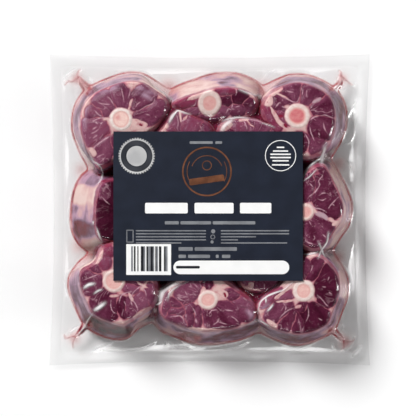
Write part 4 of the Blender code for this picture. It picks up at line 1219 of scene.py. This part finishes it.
@dataclass(frozen=True)
class VacuumPouch:
    """Two sheets of film, sealed round their edge and pulled onto the slices by the vacuum.

    Stars are the corner pinches, a stem and two prongs each, by x and y of each point in turn. Stem
    and prong have a height at their start and end and a half width at both; the thread of juice in
    them has a depth, what it loses to the end, and a half width. Dips of the flange are x, y, reach
    and depth, and its waves a length and a start. Creases end in height, half width and how white
    they are painted, partly stress whitening and partly painted highlight, and glows, where the film
    is pressed smooth, in half width and strength.
    """
    label: CardLabel
    bow: tuple = (4.3, 3.6)
    cells: tuple = (304, 296)
    seam_inner: float = 9.0
    seam_outer: float = 4.0
    droop_reach: float = 26.0
    seam_wave: float = 0.5
    waves: tuple = ((21.0, 0.6), (17.0, 1.9))
    film_pair: float = 1.0
    skin: float = 0.3
    top_pull: float = 0.55
    under_pull: float = 0.35
    label_reach: float = 3.0
    label_clear: float = 0.8
    weld_half: tuple = (143.0, 138.5)
    weld_corner: float = 20.0
    weld_ridge: float = 0.2
    weld_width: float = 1.2
    matt_band: tuple = (9.0, 14.0)
    over: float = 90.0
    beneath: float = -50.0
    steps: tuple = (900, 260, 3)
    lowest: float = 0.02
    stem: tuple = (3.4, 1.2, 3.0, 1.5)
    prong: tuple = (1.1, 0.4, 1.5, 0.8)
    thread: tuple = (0.85, 0.35, 0.7)
    # Width share of the crease white, partly stress whitening and partly painted highlight.
    glint_white_share: float = 0.8
    stars: tuple = (
        ((-116.1, 115.4, -119.7, 119, -124.2, 125.1),
        (-124.2, 125.1, -130.3, 121.4, -134.2, 122, -136.9, 118.7),
        (-124.2, 125.1, -125.3, 128.7, -123.1, 133.1)), ((119.2, 114.2, 123.2, 119.2, 124.2, 126.4),
        (124.2, 126.4, 124.4, 130, 123, 132), (124.2, 126.4, 128.6, 123.3, 134.8, 118.4)),
        ((-114.9, -105.8, -122, -115.1, -126.9, -120.2),
        (-126.9, -120.2, -130.3, -120.4, -136.1, -122.1, -138.1, -118.5),
        (-126.9, -120.2, -129.6, -126.7, -129.1, -130.8)), ((115, -112.4, 122.4, -119.4, 127.2, -124.5),
        (127.2, -124.5, 134.7, -125.2, 137.4, -122.8), (127.2, -124.5, 127.7, -130.1, 125, -134)))
    flange_dips: tuple = (
        (152, 94, 17, 1.2), (150, 41, 13, 1.2), (152, -57, 17, 1.2), (-98, -148, 18, 1.2),
        (-23, -146, 20, 1.2), (44, -146, 9, 1), (149, -140, 10, 1), (-148, 140, 22, 2))
    creases: tuple = (
        (138.7, 104.2, 134.4, 94.7, 129.2, 84.7, 0.9, 1, 0.45), (136.8, 91.8, 138.2, 83.3, 137.8, 75.7,
        134.9, 67.1, 132.5, 64.3, 128.3, 62.4, 0.7, 1, 0.45), (129.2, 46.5, 132.5, 44.1, 134.4, 39.6,
        136.1, 34.9, 0.7, 0.8, 0.5), (136.3, -31.6, 134.4, -38.3, 133.5, -46.8, 0.7, 0.8, 0.55),
        (124.5, -106.7, 125.6, -110.5, 127.6, -115.4, 0.6, 0.9, 0.4),
        (114.8, -125.7, 119.2, -131.4, 0.5, 0.7, 0.3), (136.3, -125.7, 135.2, -128.2, 132.4, -131.8,
        127.5, -133.7, 0.7, 0.8, 0.65), (135.6, -123.8, 137.3, -120.2, 0.5, 0.7, 0.6),
        (143.2, -130.4, 140.6, -135.2, 135.4, -139.9, 0.4, 2.6, 0.65), (-113, -137.1, -108.8, -132.1,
        -99.9, -128.3, -91.2, -124.9, 0.8, 1, 0.45), (-104, -134.7, -96.7, -132.8, -84.6, -133.4,
        -73.8, -132.6, -62.9, -130.4, -55.2, -127.1, -49.8, -122.8, 1, 1.3, 0.65), (-38.3, -123.8,
        -36.5, -126.9, -32.8, -129.5, -26.1, -130.9, -18.5, -131.7, 0.8, 0.9, 0.55),
        (-41.8, -124.8, -41.8, -128.6, 0.6, 0.9, 0.4), (-4.2, -133.3, 12.8, -132.1, 27.1, -129.3,
        36.6, -124.8, 43.2, -120, 0.5, 0.8, 0.3), (76.1, -137, 94.5, -136.6, 0.4, 0.8, 0.25),
        (-114.8, 124.8, -112.7, 122.3, -110.5, 120, 0.9, 1.6, 0.6), (-138.3, 121.4, -136.8, 125.6,
        -134.2, 128.7, -130.6, 131.9, -126.9, 134.3, 0.6, 0.9, 0.5),
        (-121.1, 133.1, -123.3, 129.7, 0.5, 0.8, 0.7),
        (49.9, 122.2, 55.6, 128.9, 63.2, 133.6, 0.7, 1.6, 0.3),
        (130.9, 116.7, 127, 114, 123.7, 110.9, 0.3, 1.2, 0.2), (123, 127.2, 120.6, 121.6, 0.6, 0.8, 0.7),
        (120.6, 117.5, 117.6, 114.4, 0.6, 0.8, 0.7), (135.8, 117.7, 137.3, 120, 0.5, 0.8, 0.7),
        (-125, -110.7, -129.7, -114.3, -134.2, -117.7, 0.7, 1.3, 0.6), (-108, -96.2, -112.8, -101.5,
        -115.4, -105.8, -119.2, -111.9, -124, -117.6, 0.7, 0.8, 0.6), (-113.6, 55, -108.3, 45.3,
        -102.7, 41.6, -100, 36, -100.9, 29.5, -103.7, 23.9, 0.7, 0.9, 0.55), (-37.7, 81.6, -34.9, 84.3,
        -32.7, 88.3, -29.6, 91.8, -25.9, 90.9, -22.4, 89.7, -17.4, 88.5, 0.9, 0.9, 0.75),
        (11.6, 82.5, 19.1, 84.8, 28.4, 85.7, 37.6, 84.8, 0.7, 0.9, 0.6),
        (47.9, 80.6, 54.4, 78.8, 60.9, 76, 0.6, 0.7, 0.5), (86.9, 30.4, 90.6, 37.9, 95.3, 42.5, 100.9, 46.2,
        103.7, 48.1, 106.4, 55.5, 0.9, 1.1, 0.8),
        (86.9, 26.7, 92.5, 30.4, 97.2, 35.1, 99.9, 37.9, 0.6, 0.8, 0.5),
        (107.6, 60, 106, 50, 104.6, 41, 0.4, 2.2, 0.6), (100.9, -30, 103.7, -35.6, 106.4, -41.2,
        109.2, -44.9, 0.8, 1, 0.7), (100.9, -44.9, 104.6, -37.4, 109.2, -30, 110.2, -20.7, 0.8, 1.1, 0.8),
        (86.9, -41.6, 93.4, -41.2, 101.4, -39.3, 0.7, 0.9, 0.7), (78.6, -66.3, 73.9, -70, 68.3, -74.6,
        60, -77.4, 52.5, -81.1, 46.9, -86.7, 45.1, -96, 0.9, 0.8, 0.8),
        (52.5, -81.1, 52.5, -86.7, 0.6, 0.7, 0.8), (59, -87.7, 56.2, -91.4, 53.5, -94.2, 0.5, 1.1, 0.75),
        (45.1, -102.5, 50.7, -105.3, 56.2, -109, 0.7, 0.8, 0.8),
        (45.1, -102.5, 37.6, -105.8, 30.2, -109, 0.7, 0.7, 0.4),
        (-104.6, -17, -102.7, -23.5, -100, -30, 0.6, 1.2, 0.6),
        (-116.5, -72.6, -112, -69.6, -106.7, -68.6, 0.5, 1.6, 1),
        (-107.1, -93.4, -102.4, -90.6, -96.9, -86.3, 0.5, 1.9, 1),
        (-107.1, -77.8, -103.5, -75.3, -99.6, -73.9, 0.4, 1.2, 0.7),
        (-51, -88.6, -47.9, -88, -44, -84.5, 0.6, 0.7, 0.8), (-46.3, -87, -45, -80, -42.5, -74.5,
        -35, -69.5, -26.5, -67, 0.6, 3, 0.7), (-39, -84, -36, -76, -28, -70, 0.3, 1.4, 0.5),
        (11, 73, 15, 79, 22, 84, 0.4, 2.4, 0.6), (-37.5, 80, -35, 86, -31, 91, 0.4, 1.8, 0.6),
        (-53.4, 116.7, -43.1, 109.2, -33.9, 101.8, 0.6, 1.5, 0.35),
        (24.6, 113, 35.7, 108.3, 47.8, 106, 0.6, 1.5, 0.4), (-108.3, -10.5, -108.3, -13.3, 0.4, 0.7, 0.7))
    glows: tuple = (
        (143.5, 110, 143.5, 78, 4.6, 0.9), (143.5, 58, 143.5, 26, 4.6, 1), (144, -30, 144, -78, 4.8, 0.9),
        (-124, -141.5, -68, -141, 4.4, 0.8), (-50, -139, 38, -139.5, 4.4, 1),
        (32, -139.5, 58, -139.5, 3.6, 0.7), (-45, -84, -28, -68.5, 3.6, 2), (11, 74, 24, 84, 3, 2),
        (-38, 82, -30, 92, 1.8, 2), (104, 50, 101, 40, 2.4, 1.5), (-106, -134.7, -82, -133.4, 2.2, 1.8),
        (-84.6, -133.4, -52, -125.5, 2.2, 2), (-38.3, -124, -30, -130, 1.8, 1.8),
        (-33, -129.5, -16, -132, 1.8, 1.8), (0, -133, 28, -129.5, 1.8, 1.4),
        (26, -130, 44, -119.5, 1.8, 1.6), (138.7, 104.2, 129.2, 84.7, 2, 1.8),
        (137.8, 92, 134.9, 66.5, 3.4, 1.8), (147.5, 130, 147.5, -135, 3.4, 0.9))

    def grid(self) -> tuple[Array, Array, Array]:
        """Lays a grid of points inside the pouch's bowed outline.

        Returns:
            x, y and the distance in from the edge.
        """
        u, v = np.meshgrid(*(np.linspace(-1, 1, cells + 1) for cells in self.cells), indexing="ij")
        x = u * (POUCH_HALF[0] - self.bow[0] * (1.0 - v ** 2))
        y = v * (POUCH_HALF[1] - self.bow[1] * (1.0 - u ** 2))
        inset_x, inset_y = ((1.0 - abs(t)) * half + 0.01 for t, half in zip((u, v), POUCH_HALF))
        return x, y, (inset_x ** -4.0 + inset_y ** -4.0) ** -0.25

    def seam(self, x: Array, y: Array, inset: Array) -> Array:
        """Where the two films meet, drooping and gently waving towards the edge.

        Args:
            x: first coordinate of the grid.
            y: second coordinate.
            inset: distance in from the edge.

        Returns:
            Heights.
        """
        droop = 1.0 - smooth_step(inset, 0.0, self.droop_reach)
        wave = self.seam_wave * sum(np.sin(here / length + start)
                                    for here, (length, start) in zip((x, y), self.waves))
        for dip_x, dip_y, reach, depth in self.flange_dips:
            wave -= depth * bell(np.hypot(x - dip_x, y - dip_y), reach)
        return self.seam_inner + (self.seam_outer - self.seam_inner) * droop + wave * droop

    def relax(self, limit: Array, pull: float) -> Array:
        """Lets the film settle onto what carries it, first on every second point and then on all.

        Args:
            limit: lowest height that the film may take at each point.
            pull: curvature that the vacuum gives the free film.

        Returns:
            Heights of the settled film.
        """
        spacing = 2.0 * POUCH_HALF[0] / self.cells[0]
        height = limit[::2, ::2].copy()

        def around() -> Array:
            """Mean height of the four points beside each inner point."""
            return (height[:-2, 1:-1] + height[2:, 1:-1] + height[1:-1, :-2] + height[1:-1, 2:]) / 4.0

        coarse_steps, fine_steps, last_steps = self.steps
        for steps, floor, step in ((coarse_steps, limit[::2, ::2], 2.0 * spacing),
                                   (fine_steps, limit, spacing)):
            if floor.shape != height.shape:
                wide = np.empty((floor.shape[0], height.shape[1]))
                wide[::2], wide[1::2] = height, (height[:-1] + height[1:]) / 2.0
                height = np.empty(floor.shape)
                height[:, ::2], height[:, 1::2] = wide, (wide[:, :-1] + wide[:, 1:]) / 2.0
                height = np.maximum(height, floor)
            for _ in range(steps):
                height[1:-1, 1:-1] = np.maximum(around() - pull * step ** 2 / 4.0, floor[1:-1, 1:-1])
        for _ in range(last_steps):
            height[1:-1, 1:-1] = (height[1:-1, 1:-1] + around()) / 2.0
        return height

    def wrap(self, tree: BVHTree, x: Array, y: Array, upper: Array, lower: Array) -> Array:
        """Moves the films' limits out to the slices between them.

        Args:
            tree: search tree of the slices.
            x: first coordinate of the grid.
            y: second coordinate.
            upper: lowest height of the upper film, which is raised where it has to be.
            lower: greatest height of the lower film, which is lowered.

        Returns:
            Height of the meat, 0 where there is none.
        """
        meat = np.zeros(x.shape)
        for index in np.ndindex(x.shape):
            plan = (float(x[index]), float(y[index]))
            hit = tree.ray_cast(Vector((*plan, self.over)), Vector((0, 0, -1)))[0]
            if hit is not None:
                meat[index] = hit.z
                upper[index] = max(upper[index], hit.z + self.skin)
                below = tree.ray_cast(Vector((*plan, self.beneath)), Vector((0, 0, 1)))[0]
                lower[index] = min(lower[index], below.z - self.skin)
        return meat

    def marks(self, x: Array, y: Array) -> tuple[Array, Array, Array]:
        """What the creases, the weld and the pressed places add to the upper film.

        Args:
            x: first coordinate of the grid.
            y: second coordinate.

        Returns:
            Height of the ridges, the crease white (partly stress whitening, partly painted highlight), and
            how bright its sheen.
        """
        ridge, (milk, sheen) = self.weld_line(x, y), np.zeros((2, *x.shape))
        for *run, height, width, white in self.creases:
            gap, share = curve_gap(x, y, run)
            ridge += blunt(share) * height * bell(gap, width)
            # Crease white: partly stress whitening, partly painted highlight.
            milk = np.maximum(milk, blunt(share) * white * bell(gap, self.glint_white_share * width))
        for *run, width, strength in self.glows:
            gap, share = curve_gap(x, y, run)
            sheen = np.maximum(sheen, strength * blunt(share) * bell(gap, width))
        return ridge, milk, sheen

    def shape(self, tree: BVHTree) -> Fields:
        """Settles both films round the slices.

        Args:
            tree: search tree of the slices' surfaces, in millimetres.

        Returns:
            Grids of x, y, inset, top, bottom, the crease white (partly stress whitening, partly painted
            highlight), sheen, matt, threads (juice in the corner creases), lift over the seam and hollow,
            the drop from the film to the meat.
        """
        x, y, inset = self.grid()
        seam, pair = self.seam(x, y, inset), self.film_pair / 2.0 * smooth_step(inset, -1.0, 14.0)
        upper, lower, threads = seam + pair, seam - pair, np.zeros(x.shape)
        meat = self.wrap(tree, x, y, upper, lower)
        for star in self.stars:
            for run, (high, low, broad, slim) in zip(star, (self.stem, self.prong, self.prong)):
                gap, share = curve_gap(x, y, run)
                rise = (high + (low - high) * share) * bell(gap, broad + (slim - broad) * share)
                upper = np.maximum(upper, seam + pair + rise)
                deep, thinning, half = self.thread
                threads = np.maximum(threads, (deep - thinning * share) * bell(gap, half))
        ceiling = self.label.face(x, y) - self.label_clear
        under = np.ones(x.shape, bool)
        for grid, centre, half in zip((x, y), self.label.centre, self.label.half):
            under &= abs(grid - centre) < half + self.label_reach
        top = self.relax(np.where(under, np.minimum(upper, ceiling), upper), self.top_pull)
        bottom = -self.relax(-lower, self.under_pull)
        lift, hollow = top - (seam + pair), top - meat
        ridge, milk, sheen = self.marks(x, y)
        top = top + ridge
        return {"x": x, "y": y, "inset": inset, "top": np.where(under, np.minimum(top, ceiling), top),
                "milk": milk, "sheen": sheen, "threads": threads, "lift": lift, "hollow": hollow,
                "bottom": np.maximum(bottom, self.lowest), "matt": 1.0 - smooth_step(inset, *self.matt_band)}

    def weld_line(self, x: Array, y: Array) -> Array:
        """Low ridge where the flat weld ends, a rounded rectangle inside the pouch's edge.

        Args:
            x: first coordinate of the grid.
            y: second coordinate.

        Returns:
            Heights of the ridge.
        """
        sides = zip((x, y), (y, x), self.weld_half, self.bow, POUCH_HALF[::-1])
        dx, dy = (abs(here) - (half - bow * (1.0 - (other / reach) ** 2) - self.weld_corner)
                  for here, other, half, bow, reach in sides)
        gap = np.hypot(np.maximum(dx, 0.0), np.maximum(dy, 0.0)) + np.minimum(np.maximum(dx, dy), 0.0)
        return self.weld_ridge * bell(gap - self.weld_corner, self.weld_width)

    def build(self, tree: BVHTree, finish: Material) -> Fields:
        """Makes both films, the lower one from every second point and with neither painted crease white nor
        sheen.

        Args:
            tree: search tree of the slices.
            finish: film material.

        Returns:
            The grids that they were made from.
        """
        fields = self.shape(tree)
        # Only the upper film carries the crease white, partly painted highlight.
        for name, height, step, up in (("film_upper", "top", 1, 1), ("film_lower", "bottom", 2, 0)):
            x, y, z, milk, sheen, matt = (fields[key][::step, ::step] for key in
                                          ("x", "y", height, "milk", "sheen", "matt"))
            points, quads = np.stack((x, y, z), axis=-1).reshape(-1, 3), grid_quads(x.shape)
            make_piece(name, points, quads if up else quads[:, ::-1], finish, Slot.FILM, CadNode.POUCH,
                       {"milk": milk.ravel() * up, "sheen": sheen.ravel() * up, "matt": matt.ravel()})
        return fields


@dataclass(frozen=True)
class JuiceLine:
    """Juice drawn along the slices' feet and into the corner creases, and dark juice over the valleys
    between slices, partly painted shade.

    Pools and the ends of valleys, spots of painted shade, are x, y, reach and depth; tails are x and
    y of each point in turn.
    """
    edge: tuple = (0.05, 0.5)
    fade: tuple = (1.4, 3.0)
    cover: float = 0.92
    bridge: tuple = (2.0, 6.0)
    bridge_lift: tuple = (1.0, 3.5)
    bridge_tint: float = 0.4
    # Dark juice where the film hangs deep over the valleys between slices, partly painted shade; its ends
    # are spots of painted shade.
    valley_juice_shade: tuple = (1.0, 2.8)
    valley_juice_shade_inset: tuple = (37.0, 45.0)
    valley_juice_shade_ends: tuple = ((111.5, 51.0, 6.5, 0.8), (114.0, -38.0, 6.5, 0.85))
    margin: tuple = (6.0, 12.0)
    unseen: float = 0.02
    under_film: float = 0.15
    steep: tuple = (0.2, 0.7)
    flat_share: float = 0.4
    blotches: tuple = ((0.22, 14.0, 5), (0.12, 4.0, 6))
    blotch_mean: float = 0.85
    tail: tuple = (0.3, 0.8)
    tails: tuple = ((-133.4, 102.7, -131.6, 96.6, -129.2, 89.1), (-91.5, 131.5, -80.2, 130.3, -69.4, 128.1))
    pools: tuple = (
        (-113.6, 115.1, 3, 0.9), (-115.4, 109, 2, 0.7), (-125.5, 124, 5, 0.55), (126, 124, 4.6, 0.5),
        (-128.5, -121.5, 5.4, 0.5), (128.5, -125.5, 5, 0.6), (-39, 116, 8, 0.45), (48.8, 114.5, 8, 0.45),
        (-121.5, 38, 6, 0.35), (-123.5, -34, 7, 0.4), (122, 44, 6, 0.4), (122, -45, 6, 0.4),
        (123.2, 119.2, 1.2, 0.9), (115.9, 114.7, 2.4, 0.75), (-113.6, -109, 3.6, 0.95),
        (127.2, -124.5, 1.8, 0.9), (113.6, -114.3, 2.8, 0.85), (-25, -119.5, 4, 0.9), (-12, -121, 4, 0.8))

    def build(self, fields: Fields, finish: Material) -> Piece:
        """Makes a sheet between the films wherever they stand a little apart.

        Args:
            fields: grids from the pouch.
            finish: juice material.

        Returns:
            The juice piece.
        """
        lift, x, y, top, inset, hollow = (fields[key] for key in
                                          ("lift", "x", "y", "top", "inset", "hollow"))
        steep = np.hypot(*np.gradient(top))
        patchy = self.blotch_mean + sum(share * field_noise(x, y, cell, seed)
                                        for share, cell, seed in self.blotches)
        wet = smooth_step(lift, *self.edge) * (1.0 - smooth_step(lift, *self.fade))
        wet *= self.flat_share + (1.0 - self.flat_share) * smooth_step(steep, *self.steep)
        wet *= self.cover * patchy
        # Valleys between slices and their ends: dark juice, partly painted shade.
        inside = smooth_step(inset, *self.valley_juice_shade_inset)
        for end_x, end_y, reach, deep in self.valley_juice_shade_ends:
            inside = np.maximum(inside, deep * bell(np.hypot(x - end_x, y - end_y), reach))
        bridge = smooth_step(hollow, *self.bridge) * smooth_step(lift, *self.bridge_lift)
        bridge = self.bridge_tint * patchy * bridge * (1.0 - inside)
        wet = np.maximum.reduce((wet, fields["threads"], bridge))
        for run in self.tails:
            gap, share = curve_gap(x, y, run)
            wet = np.maximum(wet, self.tail[0] * share * bell(gap, self.tail[1]))
        for pool_x, pool_y, reach, deep in self.pools:
            wet = np.maximum(wet, deep * bell(np.hypot(x - pool_x, y - pool_y), reach))
        wet *= smooth_step(inset, *self.margin)
        # Dark fill of the valleys: juice, partly painted shade.
        valley_juice_shade = smooth_step(hollow, *self.valley_juice_shade) * inside
        cover = np.maximum(wet, valley_juice_shade)
        shown = cover > self.unseen
        cell = shown[:-1, :-1] | shown[1:, :-1] | shown[1:, 1:] | shown[:-1, 1:]
        used, quads = np.unique(grid_quads(x.shape)[cell.ravel()], return_inverse=True)
        grids = (x, y, top - self.under_film, np.where(valley_juice_shade > wet, 1.0, wet), cover)
        *points, deepness, covered = (grid.ravel()[used] for grid in grids)
        return make_piece("juice_line", np.stack(points, axis=1), quads.reshape(-1, 4), finish, Slot.JUICE,
                          CadNode.POUCH, {"wet": deepness, "cover": covered})


@dataclass(frozen=True)
class Studio:
    """White paper floor, soft lights and the camera above the pack.

    Softboxes are a place, a width, a height and watts, and whether the film mirrors them.
    """
    eye: tuple = (-1.4, 1.6, 1506.0)
    aim: tuple = (0.0, 0.0, 20.0)
    sensor: float = 36.0
    view_width: float = 395.2
    view_depth: float = 1500.0
    paper_half: float = 3000.0
    paper_drop: float = 0.25
    ceiling: tuple = (("From Min", 0.84), ("From Max", 0.94), ("To Min", 0.33), ("To Max", 0.05))
    softboxes: tuple = (
        ("key_softbox", (-2880.0, 3568.0, 2944.0), 1760.0, 1760.0, 434.0, False),
        ("top_softbox", (-420.0, 440.0, 1500.0), 500.0, 500.0, 0.7, True),
        ("left_strip", (-1200.0, 100.0, 1250.0), 700.0, 100.0, 0.8, True),
        ("back_strip", (100.0, 1200.0, 1250.0), 700.0, 100.0, 0.5, True),
        ("right_strip", (1200.0, 0.0, 1250.0), 700.0, 160.0, 1.9, True),
        ("front_strip", (0.0, -1200.0, 1250.0), 700.0, 160.0, 2.4, True),
        ("right_card", (1200.0, -150.0, 420.0), 160.0, 900.0, 6.2, True),
        ("front_card", (-100.0, -1200.0, 420.0), 900.0, 160.0, 2.6, False))

    @staticmethod
    def put(name: str, data: Any, place: Row) -> Piece:
        """Puts a light or a camera in its place.

        Args:
            name: the object's name.
            data: its light or camera.
            place: where it stands, in mm.

        Returns:
            The new object.
        """
        item = bpy.data.objects.new(name, data)
        item.location = Vector(place) * MM
        bpy.context.scene.collection.objects.link(item)
        return item

    def room(self) -> None:
        """Surrounds the pack with a pale room whose ceiling is dim overhead."""
        world = bpy.data.worlds.new("room")
        world.use_nodes = True
        tree = world.node_tree
        height = add_node(tree, "SeparateXYZ", (add_node(tree, "TexCoord", out="Generated"),), "Z")
        ceiling = add_node(tree, "MapRange", {"Value": height, **dict(self.ceiling)})
        tree.links.new(ceiling, tree.nodes["Background"].inputs["Strength"])
        bpy.context.scene.world = world
        bpy.context.scene.view_settings.view_transform = "Standard"
        bpy.context.scene.view_settings.look = "None"

    def build(self, paper: Material) -> None:
        """Sets up the camera straight above, the floor, the lights that face the pack, and the room.

        Args:
            paper: finish of the floor.
        """
        camera = bpy.data.cameras.new("camera")
        camera.sensor_width = self.sensor
        camera.lens = self.sensor * self.view_depth / self.view_width
        bpy.context.scene.camera = self.put("camera", camera, self.eye)
        corners = [(x * self.paper_half, y * self.paper_half, -self.paper_drop)
                   for x, y in ((-1, -1), (1, -1), (1, 1), (-1, 1))]
        make_piece("paper_floor", np.array(corners), [(0, 1, 2, 3)], paper)
        for name, place, width, height, watts, mirrored in self.softboxes:
            data = bpy.data.lights.new(name, "AREA")
            data.shape, data.energy = "RECTANGLE", watts
            data.size, data.size_y = width * MM, height * MM
            item = self.put(name, data, place)
            item.rotation_mode = "QUATERNION"
            item.rotation_quaternion = (Vector(self.aim) - Vector(place)).to_track_quat("-Z", "Y")
            item.visible_glossy = mirrored
        self.room()
        LOG.info("studio: camera, paper floor, key, strips and cards")


def search_tree(pieces: list[Piece]) -> BVHTree:
    """Makes one search tree of several pieces' surfaces.

    Args:
        pieces: objects whose meshes are in metres.

    Returns:
        The tree, in millimetres.
    """
    verts, faces = [], []
    for piece in pieces:
        first = len(verts)
        flat = np.empty(len(piece.data.vertices) * 3)
        piece.data.vertices.foreach_get("co", flat)
        verts += (flat.reshape(-1, 3) / MM).tolist()
        faces += [tuple(first + k for k in polygon.vertices) for polygon in piece.data.polygons]
    return BVHTree.FromPolygons(verts, faces)


def main() -> None:
    """Builds the pack and the studio round it."""
    logging.basicConfig(level=logging.INFO, format="%(message)s")
    Studio().build(PAPER.make())
    meat, label = RawMeat().make(), CardLabel()
    slices = [piece.build(meat) for piece in LEG_SLICES]
    fields = VacuumPouch(label).build(search_tree(slices), VacuumFilm().make())
    JuiceLine().build(fields, MeatJuice().make())
    label.build(COATED_CARD.make())


if __name__ == "__main__":
    main()
